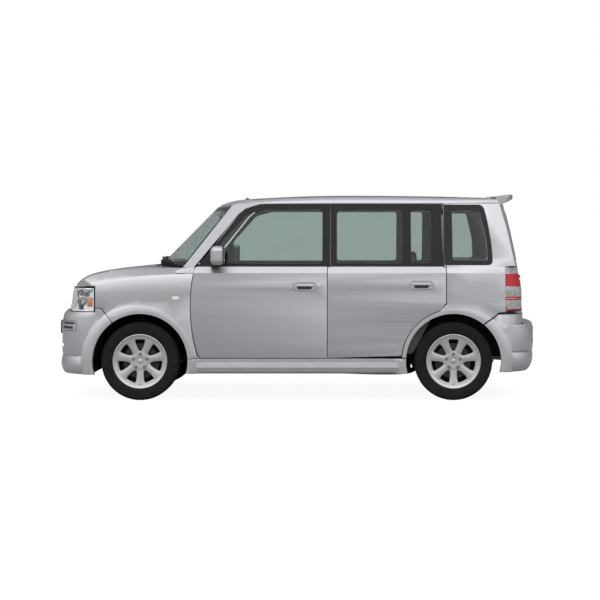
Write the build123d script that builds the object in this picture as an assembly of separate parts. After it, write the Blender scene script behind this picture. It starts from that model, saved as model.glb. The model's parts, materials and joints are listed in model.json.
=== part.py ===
from build123d import *
import math
import os

# A compact five-door hatchback with a tall box-shaped body, built as separate panels, glass, lamps,
# seats, running gear and wheels. +X points forward, +Y to the car's left and +Z up, in millimetres.
# The origin is on the ground below the middle of the car.

# --- whole car -------------------------------------------------------------------------------
LENGTH = 3945.0
HEIGHT = 1650.0
WHEELBASE = 2500.0
FRONT_OVERHANG = 735.0
FRONT_X = LENGTH / 2
REAR_X = -LENGTH / 2
FRONT_AXLE_X = FRONT_X - FRONT_OVERHANG
REAR_AXLE_X = FRONT_AXLE_X - WHEELBASE

# --- wheels ----------------------------------------------------------------------------------
TYRE_RADIUS = 311.0
TYRE_WIDTH = 188.0
RIM_RADIUS = 217.0
BEAD_RADIUS = 204.0
TYRE_FACE_Y = 824.0
WHEEL_Y = TYRE_FACE_Y - TYRE_WIDTH / 2
WHEEL_Z = TYRE_RADIUS
SPOKES = 7
HUB_RADIUS = 74.0
STUB_RADIUS = 16.0
RUNNING_CLEARANCE = 0.05
DISC_RADIUS = 140.0
ARCH_RADIUS = 380.0
KINGPIN_Y = 610.0
TURNING_RADIUS = 372.0
FLARE_REACH = 92.0

# --- body side -------------------------------------------------------------------------------
DOOR_HALF_WIDTH = 828.0
FLARE_Y = DOOR_HALF_WIDTH - 16
SILL_TOP_Z = 332.0
SILL_BOTTOM_Z = 210.0
SIDE_CROWN_Z = 700.0
SHOULDER_Z = 1015.0
BELT_Z = 1062.0
SILL_HALF_WIDTH = DOOR_HALF_WIDTH - 19
SHOULDER_HALF_WIDTH = DOOR_HALF_WIDTH - 10
BELT_HALF_WIDTH = 787.0
RAIL_Z = 1572.0
RAIL_HALF_WIDTH = 699.0
GAP = 6.5
SEAT_GAP = 0.3
DOOR_INNER_Y = 735.0
FLANGE = 8.0
FLANGE_INSET = 22.0
HINGE_SIDE_INSET = 90.0
HINGE_SETBACK = 72.0
HINGE_Y = DOOR_HALF_WIDTH - 22
HINGE_HEIGHTS = (560.0, 840.0)
PIN_RADIUS = 5.0
BARREL_RADIUS = 9.5
FRAME_THICKNESS = 36.0
FRAME_RECESS = 4.0
GLASS_THICKNESS = 4.0
GLASS_RECESS = 18.0
PILLAR_THICKNESS = 60.0
PANEL_THICKNESS = 30.0

# --- door lines, in the side view -------------------------------------------------------------
DOOR_FRONT_X = 832.0
DOOR_SPLIT_X = -256.0
DOOR_REAR_X = -1202.0
DOOR_TOP_Z = 1566.0
DOOR_BOTTOM_Z = SILL_TOP_Z + GAP
REAR_DOOR_ARCH_RADIUS = 418.0

# --- nose, tail and glass ----------------------------------------------------------------------
BONNET_REAR_X = 1195.0
BONNET_HINGE = (960.0, 1036.0)
TAILGATE_HINGE = (-1600.0, 1631.0)
BONNET_HALF_WIDTH = 706.0
NOSE_X = 1868.0
NOSE_TIP_X = 1850.0
NOSE_BOW = 112.0
NOSE_HALF_WIDTH = DOOR_HALF_WIDTH - 20
BUMPER_BOW = 140.0
TAIL_BOW = 108.0
BUMPER_TOP_Z = 702.0
BUMPER_THICKNESS = 38.0
EAR_TOP_Z = 732.0
LAMP_TOP_Z = 905.0
LAMP_REAR_X = 1603.0
LAMP_INNER_Y = 400.0
WINDSCREEN_TOP_X = 667.0
WINDSCREEN_TOP_Z = 1562.0
WINDSCREEN_SLOPE = 0.99
WINDSCREEN_LOW_Z = 1112.0
TAIL_X = -1852.0


# --- helpers -----------------------------------------------------------------------------------
def side_prism(outline, y_low, y_high):
    """A closed outline drawn in X and Z, as a solid between two Y planes."""
    plane = Plane(origin=(0, y_high, 0), x_dir=(1, 0, 0), z_dir=(0, -1, 0))
    return extrude(plane * make_face(outline), amount=y_high - y_low)


def section_prism(outline, x_low, x_high):
    """A closed outline drawn in Y and Z, as a solid between two X planes."""
    plane = Plane(origin=(x_low, 0, 0), x_dir=(0, 1, 0), z_dir=(1, 0, 0))
    return extrude(plane * make_face(outline), amount=x_high - x_low)


def plan_prism(outline, z_low, z_high):
    """A closed outline drawn in X and Y, as a solid between two Z planes."""
    return extrude(Pos(0, 0, z_low) * make_face(outline), amount=z_high - z_low)


def block(x_low, x_high, y_low, y_high, z_low, z_high):
    """A box given by its limits."""
    size = (x_high - x_low, y_high - y_low, z_high - z_low)
    centre = ((x_low + x_high) / 2, (y_low + y_high) / 2, (z_low + z_high) / 2)
    return Pos(*centre) * Box(*size)


def closed(*points):
    """A closed run of straight lines."""
    return Polyline(*points, close=True)


def rounded(points, radius):
    """A closed run of straight lines with every corner rounded."""
    return FilletPolyline(*points, radius=radius, close=True)


def other_side(shape):
    """The right-hand copy of a left-hand piece."""
    return mirror(shape, about=Plane.XZ)


def both_sides(shape):
    """A left-hand piece and its right-hand copy, as separate solids."""
    return Compound(list(shape.solids()) + list(other_side(shape).solids()))


def y_cylinder(x, z, radius, y_low, y_high):
    """A cylinder along Y."""
    plane = Plane(origin=(x, y_high, z), x_dir=(1, 0, 0), z_dir=(0, -1, 0))
    return extrude(plane * Circle(radius), amount=y_high - y_low)


def save(shape, name):
    """Writes one node, with a fresh compound so that no assembly names travel with it."""
    solids = shape.solids()
    piece = solids[0] if len(solids) == 1 else Compound(list(solids))
    export_step(piece, f"parts/{name}.step")


# --- the body's form ---------------------------------------------------------------------------
def side_y(z):
    """Half width of the body side at a height, below the belt."""
    if z < SIDE_CROWN_Z:
        drop = DOOR_HALF_WIDTH - SILL_HALF_WIDTH
        return DOOR_HALF_WIDTH - drop * ((SIDE_CROWN_Z - z) / (SIDE_CROWN_Z - SILL_TOP_Z)) ** 2
    drop = DOOR_HALF_WIDTH - SHOULDER_HALF_WIDTH
    return DOOR_HALF_WIDTH - drop * ((z - SIDE_CROWN_Z) / (SHOULDER_Z - SIDE_CROWN_Z)) ** 2


def upper_y(z):
    """Half width of the upper body side, which leans in from the belt to the roof rail."""
    lean = (BELT_HALF_WIDTH - RAIL_HALF_WIDTH) / (RAIL_Z - BELT_Z)
    return BELT_HALF_WIDTH - lean * (z - BELT_Z)


def taper(x):
    """How far the body side draws in towards the ends of the car."""
    if x > 700:
        return 30 * ((x - 700) / 1100) ** 2
    if x < -900:
        return 22 * ((x + 900) / 900) ** 2
    return 0.0


def roof_point(x, y):
    """A point of the roof above a drawn station: the front of the roof is bowed back with the windscreen."""
    run = max(x + 450, 0) / 1105
    if x > -450:
        middle = HEIGHT - 38 * ((x + 450) / 950) ** 2.2 - 30 * (max(x - 500, 0) / 155) ** 2
    else:
        middle = HEIGHT - 18 * ((x + 450) / 1150) ** 2
    across = (y / 700) ** 2
    return x - 225 * across * run**2, middle - 28 * across * (1 - 0.8 * run**4)


def rail_edge_z(x, y=636):
    """Height of the roof's edge above a place on the ground plan."""
    low, high = x, x + 240
    for _ in range(30):
        mid = (low + high) / 2
        if roof_point(mid, y)[0] < x:
            low = mid
        else:
            high = mid
    return roof_point(low, y)[1]


def windscreen_x(z):
    """Front of the windscreen on the centre line."""
    return WINDSCREEN_TOP_X + (WINDSCREEN_TOP_Z - z) * WINDSCREEN_SLOPE


def windscreen_bow(z):
    """How far the windscreen's side edge is behind its centre line."""
    return 225 + 0.11 * (WINDSCREEN_TOP_Z - z)


def side_shell(depth_out, depth_in, z_low=SILL_BOTTOM_Z):
    """The lower body side between two depths below its surface, from the sill to the belt, endless in X."""
    z_mid = (SILL_TOP_Z + SHOULDER_Z) / 2

    def edge(depth):
        low, mid, high = (side_y(SILL_TOP_Z) - depth, side_y(z_mid) - depth, side_y(SHOULDER_Z) - depth)
        return (low, SILL_TOP_Z), (mid, z_mid), (high, SHOULDER_Z), (BELT_HALF_WIDTH - depth, BELT_Z)

    a, b, c, d = edge(depth_out)
    e, f, g, h = edge(depth_in)
    outline = Curve() + [
        Line((a[0], z_low), a),
        ThreePointArc(a, b, c),
        Line(c, d),
        Line(d, h),
        Line(h, g),
        ThreePointArc(g, f, e),
        Line(e, (e[0], z_low)),
        Line((e[0], z_low), (a[0], z_low)),
    ]
    return section_prism(outline, REAR_X, FRONT_X)


def upper_shell(depth_out, depth_in, z_low, z_high):
    """The upper body side between two depths below its surface."""
    outline = closed(
        (upper_y(z_low) - depth_out, z_low),
        (upper_y(z_high) - depth_out, z_high),
        (upper_y(z_high) - depth_in, z_high),
        (upper_y(z_low) - depth_in, z_low),
    )
    return section_prism(outline, REAR_X, FRONT_X)


def flare(axle_x, height, y_skin):
    """A soft bulge round a wheel opening, turned about the wheel's axis and run straight down below it."""
    inner, outer = ARCH_RADIUS - 20, ARCH_RADIUS + FLARE_REACH
    crest = ARCH_RADIUS + 26
    y_top = y_skin + height
    profile = Curve() + [
        Line((inner, y_skin - 25), (inner, y_top)),
        Line((inner, y_top), (crest, y_top)),
        Spline((crest, y_top), (crest + 30, y_top - 0.3 * height), (outer, y_skin - 4)),
        Line((outer, y_skin - 4), (outer, y_skin - 25)),
        Line((outer, y_skin - 25), (inner, y_skin - 25)),
    ]
    plane = Plane(origin=(axle_x, 0, WHEEL_Z), x_dir=(1, 0, 0), z_dir=(0, 0, 1))
    return revolve(plane * make_face(profile), axis=Axis((axle_x, 0, WHEEL_Z), (0, 1, 0)), revolution_arc=360)


def wheel_hole(axle_x, y_low):
    """The space of a wheel opening, for both sides of the arch down to below the body."""
    low = y_cylinder(axle_x, WHEEL_Z, ARCH_RADIUS, y_low, 1000)
    return low + block(axle_x - ARCH_RADIUS + 14, axle_x + ARCH_RADIUS - 14, y_low, 1000, 0, WHEEL_Z)


# --- doors -------------------------------------------------------------------------------------
def front_door_outline(inset, hinge_inset):
    """The front door's lower panel in the side view, drawn in from its edges and from its hinge side."""
    low_z = DOOR_BOTTOM_Z + inset
    front = [(798 - hinge_inset, BELT_Z), (DOOR_FRONT_X - hinge_inset, 690), (775 - hinge_inset, low_z + 20)]
    rear_x = DOOR_SPLIT_X + GAP / 2 + inset
    return Curve() + [
        ThreePointArc(*front),
        Polyline(front[2], (750 - hinge_inset, low_z), (rear_x, low_z), (rear_x, BELT_Z), front[0]),
    ]


def rear_door_outline(inset, hinge_inset):
    """The rear door's lower panel in the side view, with its corner cut back round the wheel opening."""
    front_x = DOOR_SPLIT_X - GAP / 2 - hinge_inset
    rear_x = DOOR_REAR_X + inset
    low_z = DOOR_BOTTOM_Z + inset
    radius = REAR_DOOR_ARCH_RADIUS + inset
    arch = [around_rear_wheel(radius, degrees) for degrees in (6, 40, 76)]
    return Curve() + [
        Polyline((front_x, BELT_Z), (front_x, low_z), arch[0]),
        ThreePointArc(*arch),
        Polyline(arch[2], (rear_x, arch[2][1] + 60), (rear_x, BELT_Z), (front_x, BELT_Z)),
    ]


def around_rear_wheel(radius, degrees):
    """A point on a circle about the rear wheel's centre, in X and Z."""
    angle = math.radians(degrees)
    return REAR_AXLE_X + radius * math.cos(angle), WHEEL_Z + radius * math.sin(angle)


def front_frame_outline(inset):
    """The front door's window frame in the side view."""
    low = BELT_Z - 10
    step = BELT_Z + GAP
    rear_x = DOOR_SPLIT_X - 24 + GAP / 2 + inset
    panel_x = DOOR_SPLIT_X + GAP / 2 + inset
    top = DOOR_TOP_Z - inset
    points = [
        (798 - 1.35 * inset, low),
        (455 - 1.35 * inset, 1477),
        (400 - 1.1 * inset, 1525 - 0.5 * inset),
        (300 - 0.6 * inset, top - 6),
        (220, top),
        (rear_x, top),
        (rear_x, step),
        (panel_x, step),
        (panel_x, low),
    ]
    return closed(*points)


def rear_frame_outline(inset):
    """The rear door's window frame in the side view."""
    front_x = DOOR_SPLIT_X - 24 - GAP / 2 - inset
    return closed(
        (front_x, BELT_Z - 10),
        (front_x, DOOR_TOP_Z - inset),
        (-1172 + inset, DOOR_TOP_Z - inset),
        (-1180 + inset, BELT_Z - 10),
    )


def window_opening(points, radius):
    """A window cut right through the upper body side."""
    return side_prism(rounded(points, radius), 600, 900)


FRONT_HINGE_X = DOOR_FRONT_X - HINGE_SETBACK
REAR_HINGE_X = DOOR_SPLIT_X - GAP / 2 - HINGE_SETBACK
FRONT_WINDOW = [(600, 1092), (600, 1262), (390, 1492), (250, 1526), (-216, 1526), (-216, 1092)]
REAR_WINDOW = [(-326, 1094), (-326, 1524), (-856, 1524), (-856, 1094)]
REAR_VENT = [(-926, 1096), (-926, 1524), (-1086, 1524), (-1086, 1096)]
QUARTER_WINDOW = [(-1260, 1120), (-1258, 1512), (-1476, 1512), (-1528, 1300), (-1540, 1120)]


def door_solid(outline, frame, windows, hinge_x):
    """One door: an outer panel, a thicker inner box set in from its edges, a window frame and hinge eyes."""
    panel = side_prism(outline(0, 0), 600, 900) & side_shell(0, FLANGE)
    inner_limits = block(REAR_X, FRONT_X, DOOR_INNER_Y, 900, 0, BELT_Z - 2)
    inner = side_prism(outline(FLANGE_INSET, HINGE_SIDE_INSET), 600, 900)
    inner = inner & side_shell(FLANGE - 3, 120) & inner_limits
    frame_shell = upper_shell(FRAME_RECESS, FRAME_RECESS + FRAME_THICKNESS, BELT_Z - 10, 1600)
    upper = side_prism(frame(0), 600, 900) & frame_shell
    whole = panel + inner + upper
    for window in windows:
        whole -= window
    for z in HINGE_HEIGHTS:
        for low, high in ((z - 28, z - 10), (z + 10, z + 28)):
            whole += block(hinge_x - 34, hinge_x, HINGE_Y - 5, HINGE_Y + 5, low, high)
            whole += Pos(hinge_x, HINGE_Y, (low + high) / 2) * Cylinder(BARREL_RADIUS, high - low)
            whole -= Pos(hinge_x, HINGE_Y, (low + high) / 2) * Cylinder(PIN_RADIUS + RUNNING_CLEARANCE, high - low)
    return whole


def door_hinges(hinge_x):
    """The pins and brackets on a pillar that a door turns on."""
    pieces = []
    for z in HINGE_HEIGHTS:
        bracket = block(hinge_x - 5, hinge_x + 5, 730, HINGE_Y, z - 9.7, z + 9.7)
        bracket += Pos(hinge_x, HINGE_Y, z) * Cylinder(BARREL_RADIUS, 19.4)
        bracket += Pos(hinge_x, HINGE_Y, z) * Cylinder(PIN_RADIUS, 55)
        pieces.append(bracket)
    return pieces[0] + pieces[1]


def handle(x, z):
    """A pull handle: a long oval plate just proud of the door, with a finger pocket under its grip."""
    skin = side_y(z)
    plane = Plane(origin=(x, skin + 6, z), x_dir=(1, 0, 0), z_dir=(0, -1, 0))
    plate = extrude(plane * SlotOverall(188, 64), amount=20)
    pocket_plane = Plane(origin=(x + 4, skin + 30, z - 10), x_dir=(1, 0, 0), z_dir=(0, -1, 0))
    pocket = extrude(pocket_plane * SlotOverall(116, 26), amount=50)
    return plate, pocket


def with_handle(door, x, z):
    plate, pocket = handle(x, z)
    return door + plate - pocket


def pane(points, radius, recess=GLASS_RECESS):
    """A flat side window, a hair smaller than its opening."""
    opening = side_prism(offset(make_face(rounded(points, radius)), amount=-SEAT_GAP).wires()[0], 600, 900)
    return opening & upper_shell(recess, recess + GLASS_THICKNESS, BELT_Z - 10, 1600)


def door_mirror():
    """A door mirror: a rounded housing on a short foot in the corner of the front window."""
    housing = block(552, 668, 838, 968, 1082, 1232)
    housing = fillet(housing.edges(), 44)
    housing -= fillet(block(530, 562, 856, 950, 1100, 1214).edges().filter_by(Axis.X), 30)
    foot = block(598, 650, 776, 850, 1066, 1118)
    return housing + foot


def hung_doors():
    """Both left-hand doors with their glass and the mirror, and their right-hand copies."""
    front = door_solid(front_door_outline, front_frame_outline, [window_opening(FRONT_WINDOW, 30)], FRONT_HINGE_X)
    rear_windows = [window_opening(REAR_WINDOW, 24), window_opening(REAR_VENT, 20)]
    rear = door_solid(rear_door_outline, rear_frame_outline, rear_windows, REAR_HINGE_X)
    rear_glass = Compound([pane(REAR_WINDOW, 24).solid(), pane(REAR_VENT, 20).solid()])
    mirror_seat = side_prism(front_frame_outline(-1), 600, upper_y(1062) - FRAME_RECESS + SEAT_GAP)
    pieces = (
        (with_handle(front, -78, 908), "door_front"),
        (with_handle(rear, -1010, 918), "door_rear"),
        (pane(FRONT_WINDOW, 30), "door_glass_front"),
        (rear_glass, "door_glass_rear"),
        (door_mirror() - mirror_seat, "door_mirror"),
    )
    for piece, name in pieces:
        save(piece, f"{name}_left")
        save(other_side(piece), f"{name}_right")


# --- lofted panels -----------------------------------------------------------------------------
def loft_x(section, stations, ruled=False):
    """A solid through sections drawn in Y and Z at given X."""
    faces = []
    for x in stations:
        plane = Plane(origin=(x, 0, 0), x_dir=(0, 1, 0), z_dir=(1, 0, 0))
        faces.append(plane * make_face(section(x)))
    return loft(faces, ruled=ruled)


def loft_y(section, stations):
    """A solid through sections drawn in X and Z at given Y."""
    faces = []
    for y in stations:
        plane = Plane(origin=(0, y, 0), x_dir=(1, 0, 0), z_dir=(0, -1, 0))
        faces.append(plane * make_face(section(y)))
    return loft(faces)


def loft_z(section, levels):
    """A solid through sections drawn in X and Y at given heights."""
    return loft([Pos(0, 0, z) * make_face(section(z)) for z in levels], ruled=True)


def strip(top, low):
    """A closed section between two smooth runs of points drawn the same way."""
    return Curve() + [Spline(*top), Line(top[-1], low[-1]), Spline(*low[::-1]), Line(low[0], top[0])]


def rear_side_section(x, depth_out, depth_in):
    """The whole body side, sill to roof rail, at a station behind the rear door."""
    t = taper(x)
    heights = (SILL_BOTTOM_Z, 360, 520, 700, 860, SHOULDER_Z)
    outer = [(side_y(z) - t - depth_out, z) for z in heights]
    inner = [(side_y(z) - t - depth_in, z) for z in heights]
    return Curve() + [
        Spline(*outer),
        Line(outer[-1], (upper_y(BELT_Z) - t - depth_out, BELT_Z)),
        Line((upper_y(BELT_Z) - t - depth_out, BELT_Z), (upper_y(RAIL_Z) - t - depth_out, RAIL_Z)),
        Line((upper_y(RAIL_Z) - t - depth_out, RAIL_Z), (upper_y(RAIL_Z) - t - depth_in, RAIL_Z)),
        Line((upper_y(RAIL_Z) - t - depth_in, RAIL_Z), (upper_y(BELT_Z) - t - depth_in, BELT_Z)),
        Line((upper_y(BELT_Z) - t - depth_in, BELT_Z), inner[-1]),
        Spline(*inner[::-1]),
        Line(inner[0], outer[0]),
    ]


def rear_side(depth_out, depth_in):
    stations = (-780, -900, -1200, -1500, -1750, -1960)
    return loft_x(lambda x: rear_side_section(x, depth_out, depth_in), stations)


def fender_section(x):
    """The front wing at a station: side, soft shoulder and the slope up to the bonnet's edge."""
    t = taper(x)
    run = (x - 780) / 900
    crease = 1012 - 25 * run - 55 * max(run, 0) ** 3
    top = (BONNET_HALF_WIDTH + GAP, bonnet_edge_z(x))
    side = [(side_y(z) - t, z) for z in (SILL_BOTTOM_Z, 400, 600, 800)]
    outer = side + [(side_y(930) - t - 0.5, 0.94 * crease), (side_y(1000) - t - 16, crease)]
    inner = [(y - 30, z) for y, z in side] + [
        (outer[4][0] - 30, outer[4][1] - 6),
        (outer[5][0] - 30, outer[5][1] - 22),
    ]
    return Curve() + [
        Spline(*outer),
        Line(outer[-1], top),
        Line(top, (top[0], top[1] - 32)),
        Line((top[0], top[1] - 32), inner[-1]),
        Spline(*inner[::-1]),
        Line(inner[0], outer[0]),
    ]


def bonnet_edge_z(x):
    """Height of the bonnet's side edge."""
    run = max(x - BONNET_REAR_X, 0) / (NOSE_X - BONNET_REAR_X)
    if x < BONNET_REAR_X:
        return 1053 + 0.01 * (BONNET_REAR_X - x)
    return 1053 - 70 * run**1.5 - 30 * run**6


def front_fender():
    """The left front wing, cut for the wheel, the door, the lamp and the bumper, with its wheel flare."""
    skin = loft_x(fender_section, (700, 880, 1080, 1300, 1500, 1750))
    skin = skin & plan_prism(nose_outline(NOSE_TIP_X, DOOR_HALF_WIDTH, 265, NOSE_BOW, 500), 100, 1200)
    door_line = [(798 + GAP + 1, BELT_Z), (DOOR_FRONT_X + GAP, 690), (783, DOOR_BOTTOM_Z + 12)]
    lamp_line = [(LAMP_REAR_X - GAP, EAR_TOP_Z + GAP), (LAMP_REAR_X - GAP, LAMP_TOP_Z + 6), (1740, LAMP_TOP_Z + 6)]
    outline = Curve() + [
        ThreePointArc(*door_line),
        Line(door_line[2], (760, SILL_TOP_Z + 2)),
        Line((760, SILL_TOP_Z + 2), (1200, SILL_TOP_Z + 2)),
        Line((1200, SILL_TOP_Z + 2), (1458, 622)),
        Line((1458, 622), (1547, EAR_TOP_Z + GAP)),
        Line((1547, EAR_TOP_Z + GAP), lamp_line[0]),
        Polyline(*lamp_line),
        Spline(lamp_line[-1], (1708, 949), (1664, 980), (1620, 997), (1576, 1009), (1500, 1022)),
        Polyline((1500, 1022), (1500, 1100), (925, 1100)),
        Polyline((925, 1100), (925, 1056), (807, 1056), door_line[0]),
    ]
    bulge = flare(FRONT_AXLE_X, 17, FLARE_Y)
    return (skin + bulge) & side_prism(outline, 600, 950) - wheel_hole(FRONT_AXLE_X, 600)


def nose_outline(x_end, half_width, corner, bow, x_back, inset=0.0):
    """A car-wide outline in plan with a bowed end and round corners that run on from the bow; a negative
    end gives the tail."""
    sign = 1 if x_end > 0 else -1
    hw, c = half_width - inset, corner - inset * 0.5
    y_e = hw - c
    sagitta = bow * (y_e / hw) ** 2
    lean = 2 * math.atan(sagitta / y_e)
    half_turn = (math.pi / 2 - lean) / 2
    reach = c / math.cos(lean)
    x_e = x_end - sign * (inset + sagitta)
    x_c = x_e - sign * c * math.tan(lean)
    x_s = x_c - sign * reach
    depth = reach / math.tan(half_turn) * (1 / math.cos(half_turn) - 1)
    mid = (x_c - sign * depth * math.sin(half_turn), hw - depth * math.cos(half_turn))
    return Curve() + [
        Line((x_back, hw), (x_s, hw)),
        ThreePointArc((x_s, hw), mid, (x_e, y_e)),
        ThreePointArc((x_e, y_e), (x_end - sign * inset, 0), (x_e, -y_e)),
        ThreePointArc((x_e, -y_e), (mid[0], -mid[1]), (x_s, -hw)),
        Line((x_s, -hw), (x_back, -hw)),
        Line((x_back, -hw), (x_back, hw)),
    ]


def level_value(table, z):
    """Straight-line reading of a small table of heights and values."""
    if z <= table[0][0]:
        return table[0][1]
    for (z0, v0), (z1, v1) in zip(table, table[1:]):
        if z <= z1:
            return v0 + (v1 - v0) * (z - z0) / (z1 - z0)
    return table[-1][1]


BUMPER_FACE_X = FRONT_X - 8
BUMPER_FRONT = (
    (205, FRONT_X - 26), (225, FRONT_X - 12), (262, FRONT_X), (300, FRONT_X - 2), (338, FRONT_X - 10),
    (351, FRONT_X - 18), (356, BUMPER_FACE_X), (600, BUMPER_FACE_X), (672, FRONT_X - 22),
    (702, FRONT_X - 48),
)
FRONT_LIP = ((205, -8), (225, 3), (262, 10), (300, 8), (338, 2), (351, -5), (356, 0))
NOSE_FRONT = ((700, NOSE_TIP_X + 36), (760, NOSE_TIP_X + 30), (850, NOSE_TIP_X + 18), (905, NOSE_TIP_X))
BUMPER_REAR = (
    (225, REAR_X + 46), (250, REAR_X + 24), (290, REAR_X + 8), (330, REAR_X + 4), (372, REAR_X + 8),
    (385, REAR_X + 18), (390, REAR_X + 4), (440, REAR_X), (560, REAR_X), (600, REAR_X + 17),
)
REAR_LIP = ((225, -10), (250, 2), (290, 9), (330, 9), (372, 2), (385, -6), (390, 0))
TAIL_REAR = ((680, -1852), (881, TAIL_X), (1079, -1818), (1345, -1765), (1604, -1703))


def bumper_ring(table, lip, z_low, z_high, thickness, half_width, corner, bow, x_back):
    """The shell of a bumper between two heights, its sides swelled by the lip's own table."""
    levels = [z_low] + [z for z, _ in table if z_low < z < z_high] + [z_high]

    def outline(z, inset=0.0):
        return nose_outline(level_value(table, z), half_width + level_value(lip, z), corner, bow, x_back, inset)

    return loft_z(outline, levels) - loft_z(lambda z: outline(z, thickness), levels)


def front_bumper():
    """The front bumper with its ledge, intakes, fog lamp pockets and the front of the wheel flares."""
    z_low, z_high = BUMPER_FRONT[0][0], BUMPER_FRONT[-1][0]
    shell = bumper_ring(BUMPER_FRONT, FRONT_LIP, z_low, z_high, BUMPER_THICKNESS, FLARE_Y - 1, 246,
                        BUMPER_BOW, 1380)
    ledge = plan_prism(nose_outline(NOSE_TIP_X + 50, 780, 235, BUMPER_BOW - 10, 1640), 676, 700)
    ledge -= block(1500, 1800, -700, 700, 600, 720)
    ear = block(1480, LAMP_REAR_X - GAP, FLARE_Y - 37, FLARE_Y - 1, BUMPER_TOP_Z - 12, EAR_TOP_Z)
    body = shell + ledge + ear + other_side(ear)
    bulge = flare(FRONT_AXLE_X, 17, FLARE_Y) & block(1380, 1800, 600, 900, 205, 760)
    line = closed((1300, 205), (1468, 627), (1552, EAR_TOP_Z), (1990, EAR_TOP_Z), (1990, 200), (1300, 200))
    body = body + bulge + other_side(bulge)
    body = body & side_prism(line, -900, 900)
    for side in (1, -1):
        hole = wheel_hole(FRONT_AXLE_X, 600)
        body -= hole if side == 1 else other_side(hole)
        body -= block(FRONT_X - 92, 2000, side * 560 - 62, side * 560 + 62, 384, 450)
    body -= block(FRONT_X - 122, 2000, -430, 430, 300, 520)
    body -= block(FRONT_X - 122, 2000, -380, 380, 590, 668)
    return body


def rear_bumper():
    """The rear bumper: a deep shell with a step below the tailgate."""
    z_low, z_high = BUMPER_REAR[0][0], BUMPER_REAR[-1][0]
    shell = bumper_ring(BUMPER_REAR, REAR_LIP, z_low, z_high, BUMPER_THICKNESS, FLARE_Y, 225, TAIL_BOW, -1460)
    step_bow = TAIL_BOW - 20
    step = plan_prism(nose_outline(-1880, FLARE_Y, 200, step_bow, -1500), 596, 684)
    step -= plan_prism(nose_outline(-1880, FLARE_Y, 200, step_bow, -1400, 45), 560, 664)
    step -= plan_prism(nose_outline(-1880, FLARE_Y, 200, step_bow, -1400, 160), 560, 700)
    shelf = plan_prism(nose_outline(-1950, 808, 200, TAIL_BOW - 4, -1500), 574, 600)
    shelf -= plan_prism(nose_outline(-1870, 760, 190, 40, -1400), 500, 700)
    body = shell + step + shelf
    bulge = flare(REAR_AXLE_X, 16, FLARE_Y - 1) & block(-1800, -1460, 600, 900, 225, 684)
    line = closed((-1300, 220), (-1515, 608), (-1585, 652), (-1628, 690), (-1990, 690), (-1990, 220))
    body = body + bulge + other_side(bulge)
    body = body & side_prism(line, -900, 900)
    for side in (1, -1):
        hole = wheel_hole(REAR_AXLE_X, 600)
        body -= hole if side == 1 else other_side(hole)
    return body


def side_skirt():
    """The left sill: a deep rounded strip below the doors from wheel to wheel."""
    hw = SILL_HALF_WIDTH
    section = FilletPolyline(
        (hw - 49, 212), (hw - 15, 212), (hw + 3, 228), (hw + 11, 262), (hw + 8, 292), (hw - 4, 303),
        (hw - 3, SILL_TOP_Z), (hw - 49, SILL_TOP_Z),
        radius=3, close=True,
    )
    strip_ = section_prism(section, -1000, 1000)
    bulges = flare(FRONT_AXLE_X, 17, FLARE_Y) + flare(REAR_AXLE_X, 15, FLARE_Y - 2)
    bulges = bulges & block(-1000, 1000, 770, 900, 212, SILL_TOP_Z - 4)
    return strip_ + bulges - wheel_hole(FRONT_AXLE_X, 600) - wheel_hole(REAR_AXLE_X, 600)


def rear_quarter():
    """The left rear wing with the pillar round the quarter window, the wheel flare and the tailgate's edge."""
    skin = rear_side(0, PANEL_THICKNESS)
    low = DOOR_REAR_X - GAP
    radius = REAR_DOOR_ARCH_RADIUS - GAP

    arch = [around_rear_wheel(radius, degrees) for degrees in (75, 40, 4)]
    tail_line = [(-1480, 560), (-1508, 616), (-1580, 662), (-1623, 700), (-1676, 706), (-1676, 1070),
                 (-1762, 1072)]
    pillar_line = [(-1744, 1145), (-1695, 1371), (-1644, 1558), (-1640, RAIL_Z), (-1187, RAIL_Z)]
    outline = Curve() + [
        Polyline((-1187, BELT_Z + GAP), (low, BELT_Z + GAP), (low, arch[0][1] + 60), arch[0]),
        ThreePointArc(*arch),
        Polyline(arch[2], (-1262, 338), *tail_line, *pillar_line, (-1187, BELT_Z + GAP)),
    ]
    bulge = flare(REAR_AXLE_X, 16, FLARE_Y - 1) & block(-1800, -700, 700, 900, 300, 900)
    whole = (skin + bulge) & side_prism(outline, 560, 950)
    whole -= window_opening(QUARTER_WINDOW, 24)
    return whole - wheel_hole(REAR_AXLE_X, 560)


def rail_section(x):
    """The roof rail: from the top of the doors round to the edge of the roof."""
    edge = rail_edge_z(x)
    t = taper(x)
    outer = (RAIL_HALF_WIDTH - t, RAIL_Z)
    mid = (RAIL_HALF_WIDTH - 18, 1564 + 0.72 * (edge - 1564))
    inner = (636, edge)
    outer = (outer[0], min(RAIL_Z, edge - 14))
    return Curve() + [
        ThreePointArc(outer, mid, inner),
        Polyline(inner, (600, rail_edge_z(x, 600)), (600, 1524), (646 - t, 1524), (646 - t, outer[1]), outer),
    ]


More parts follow.
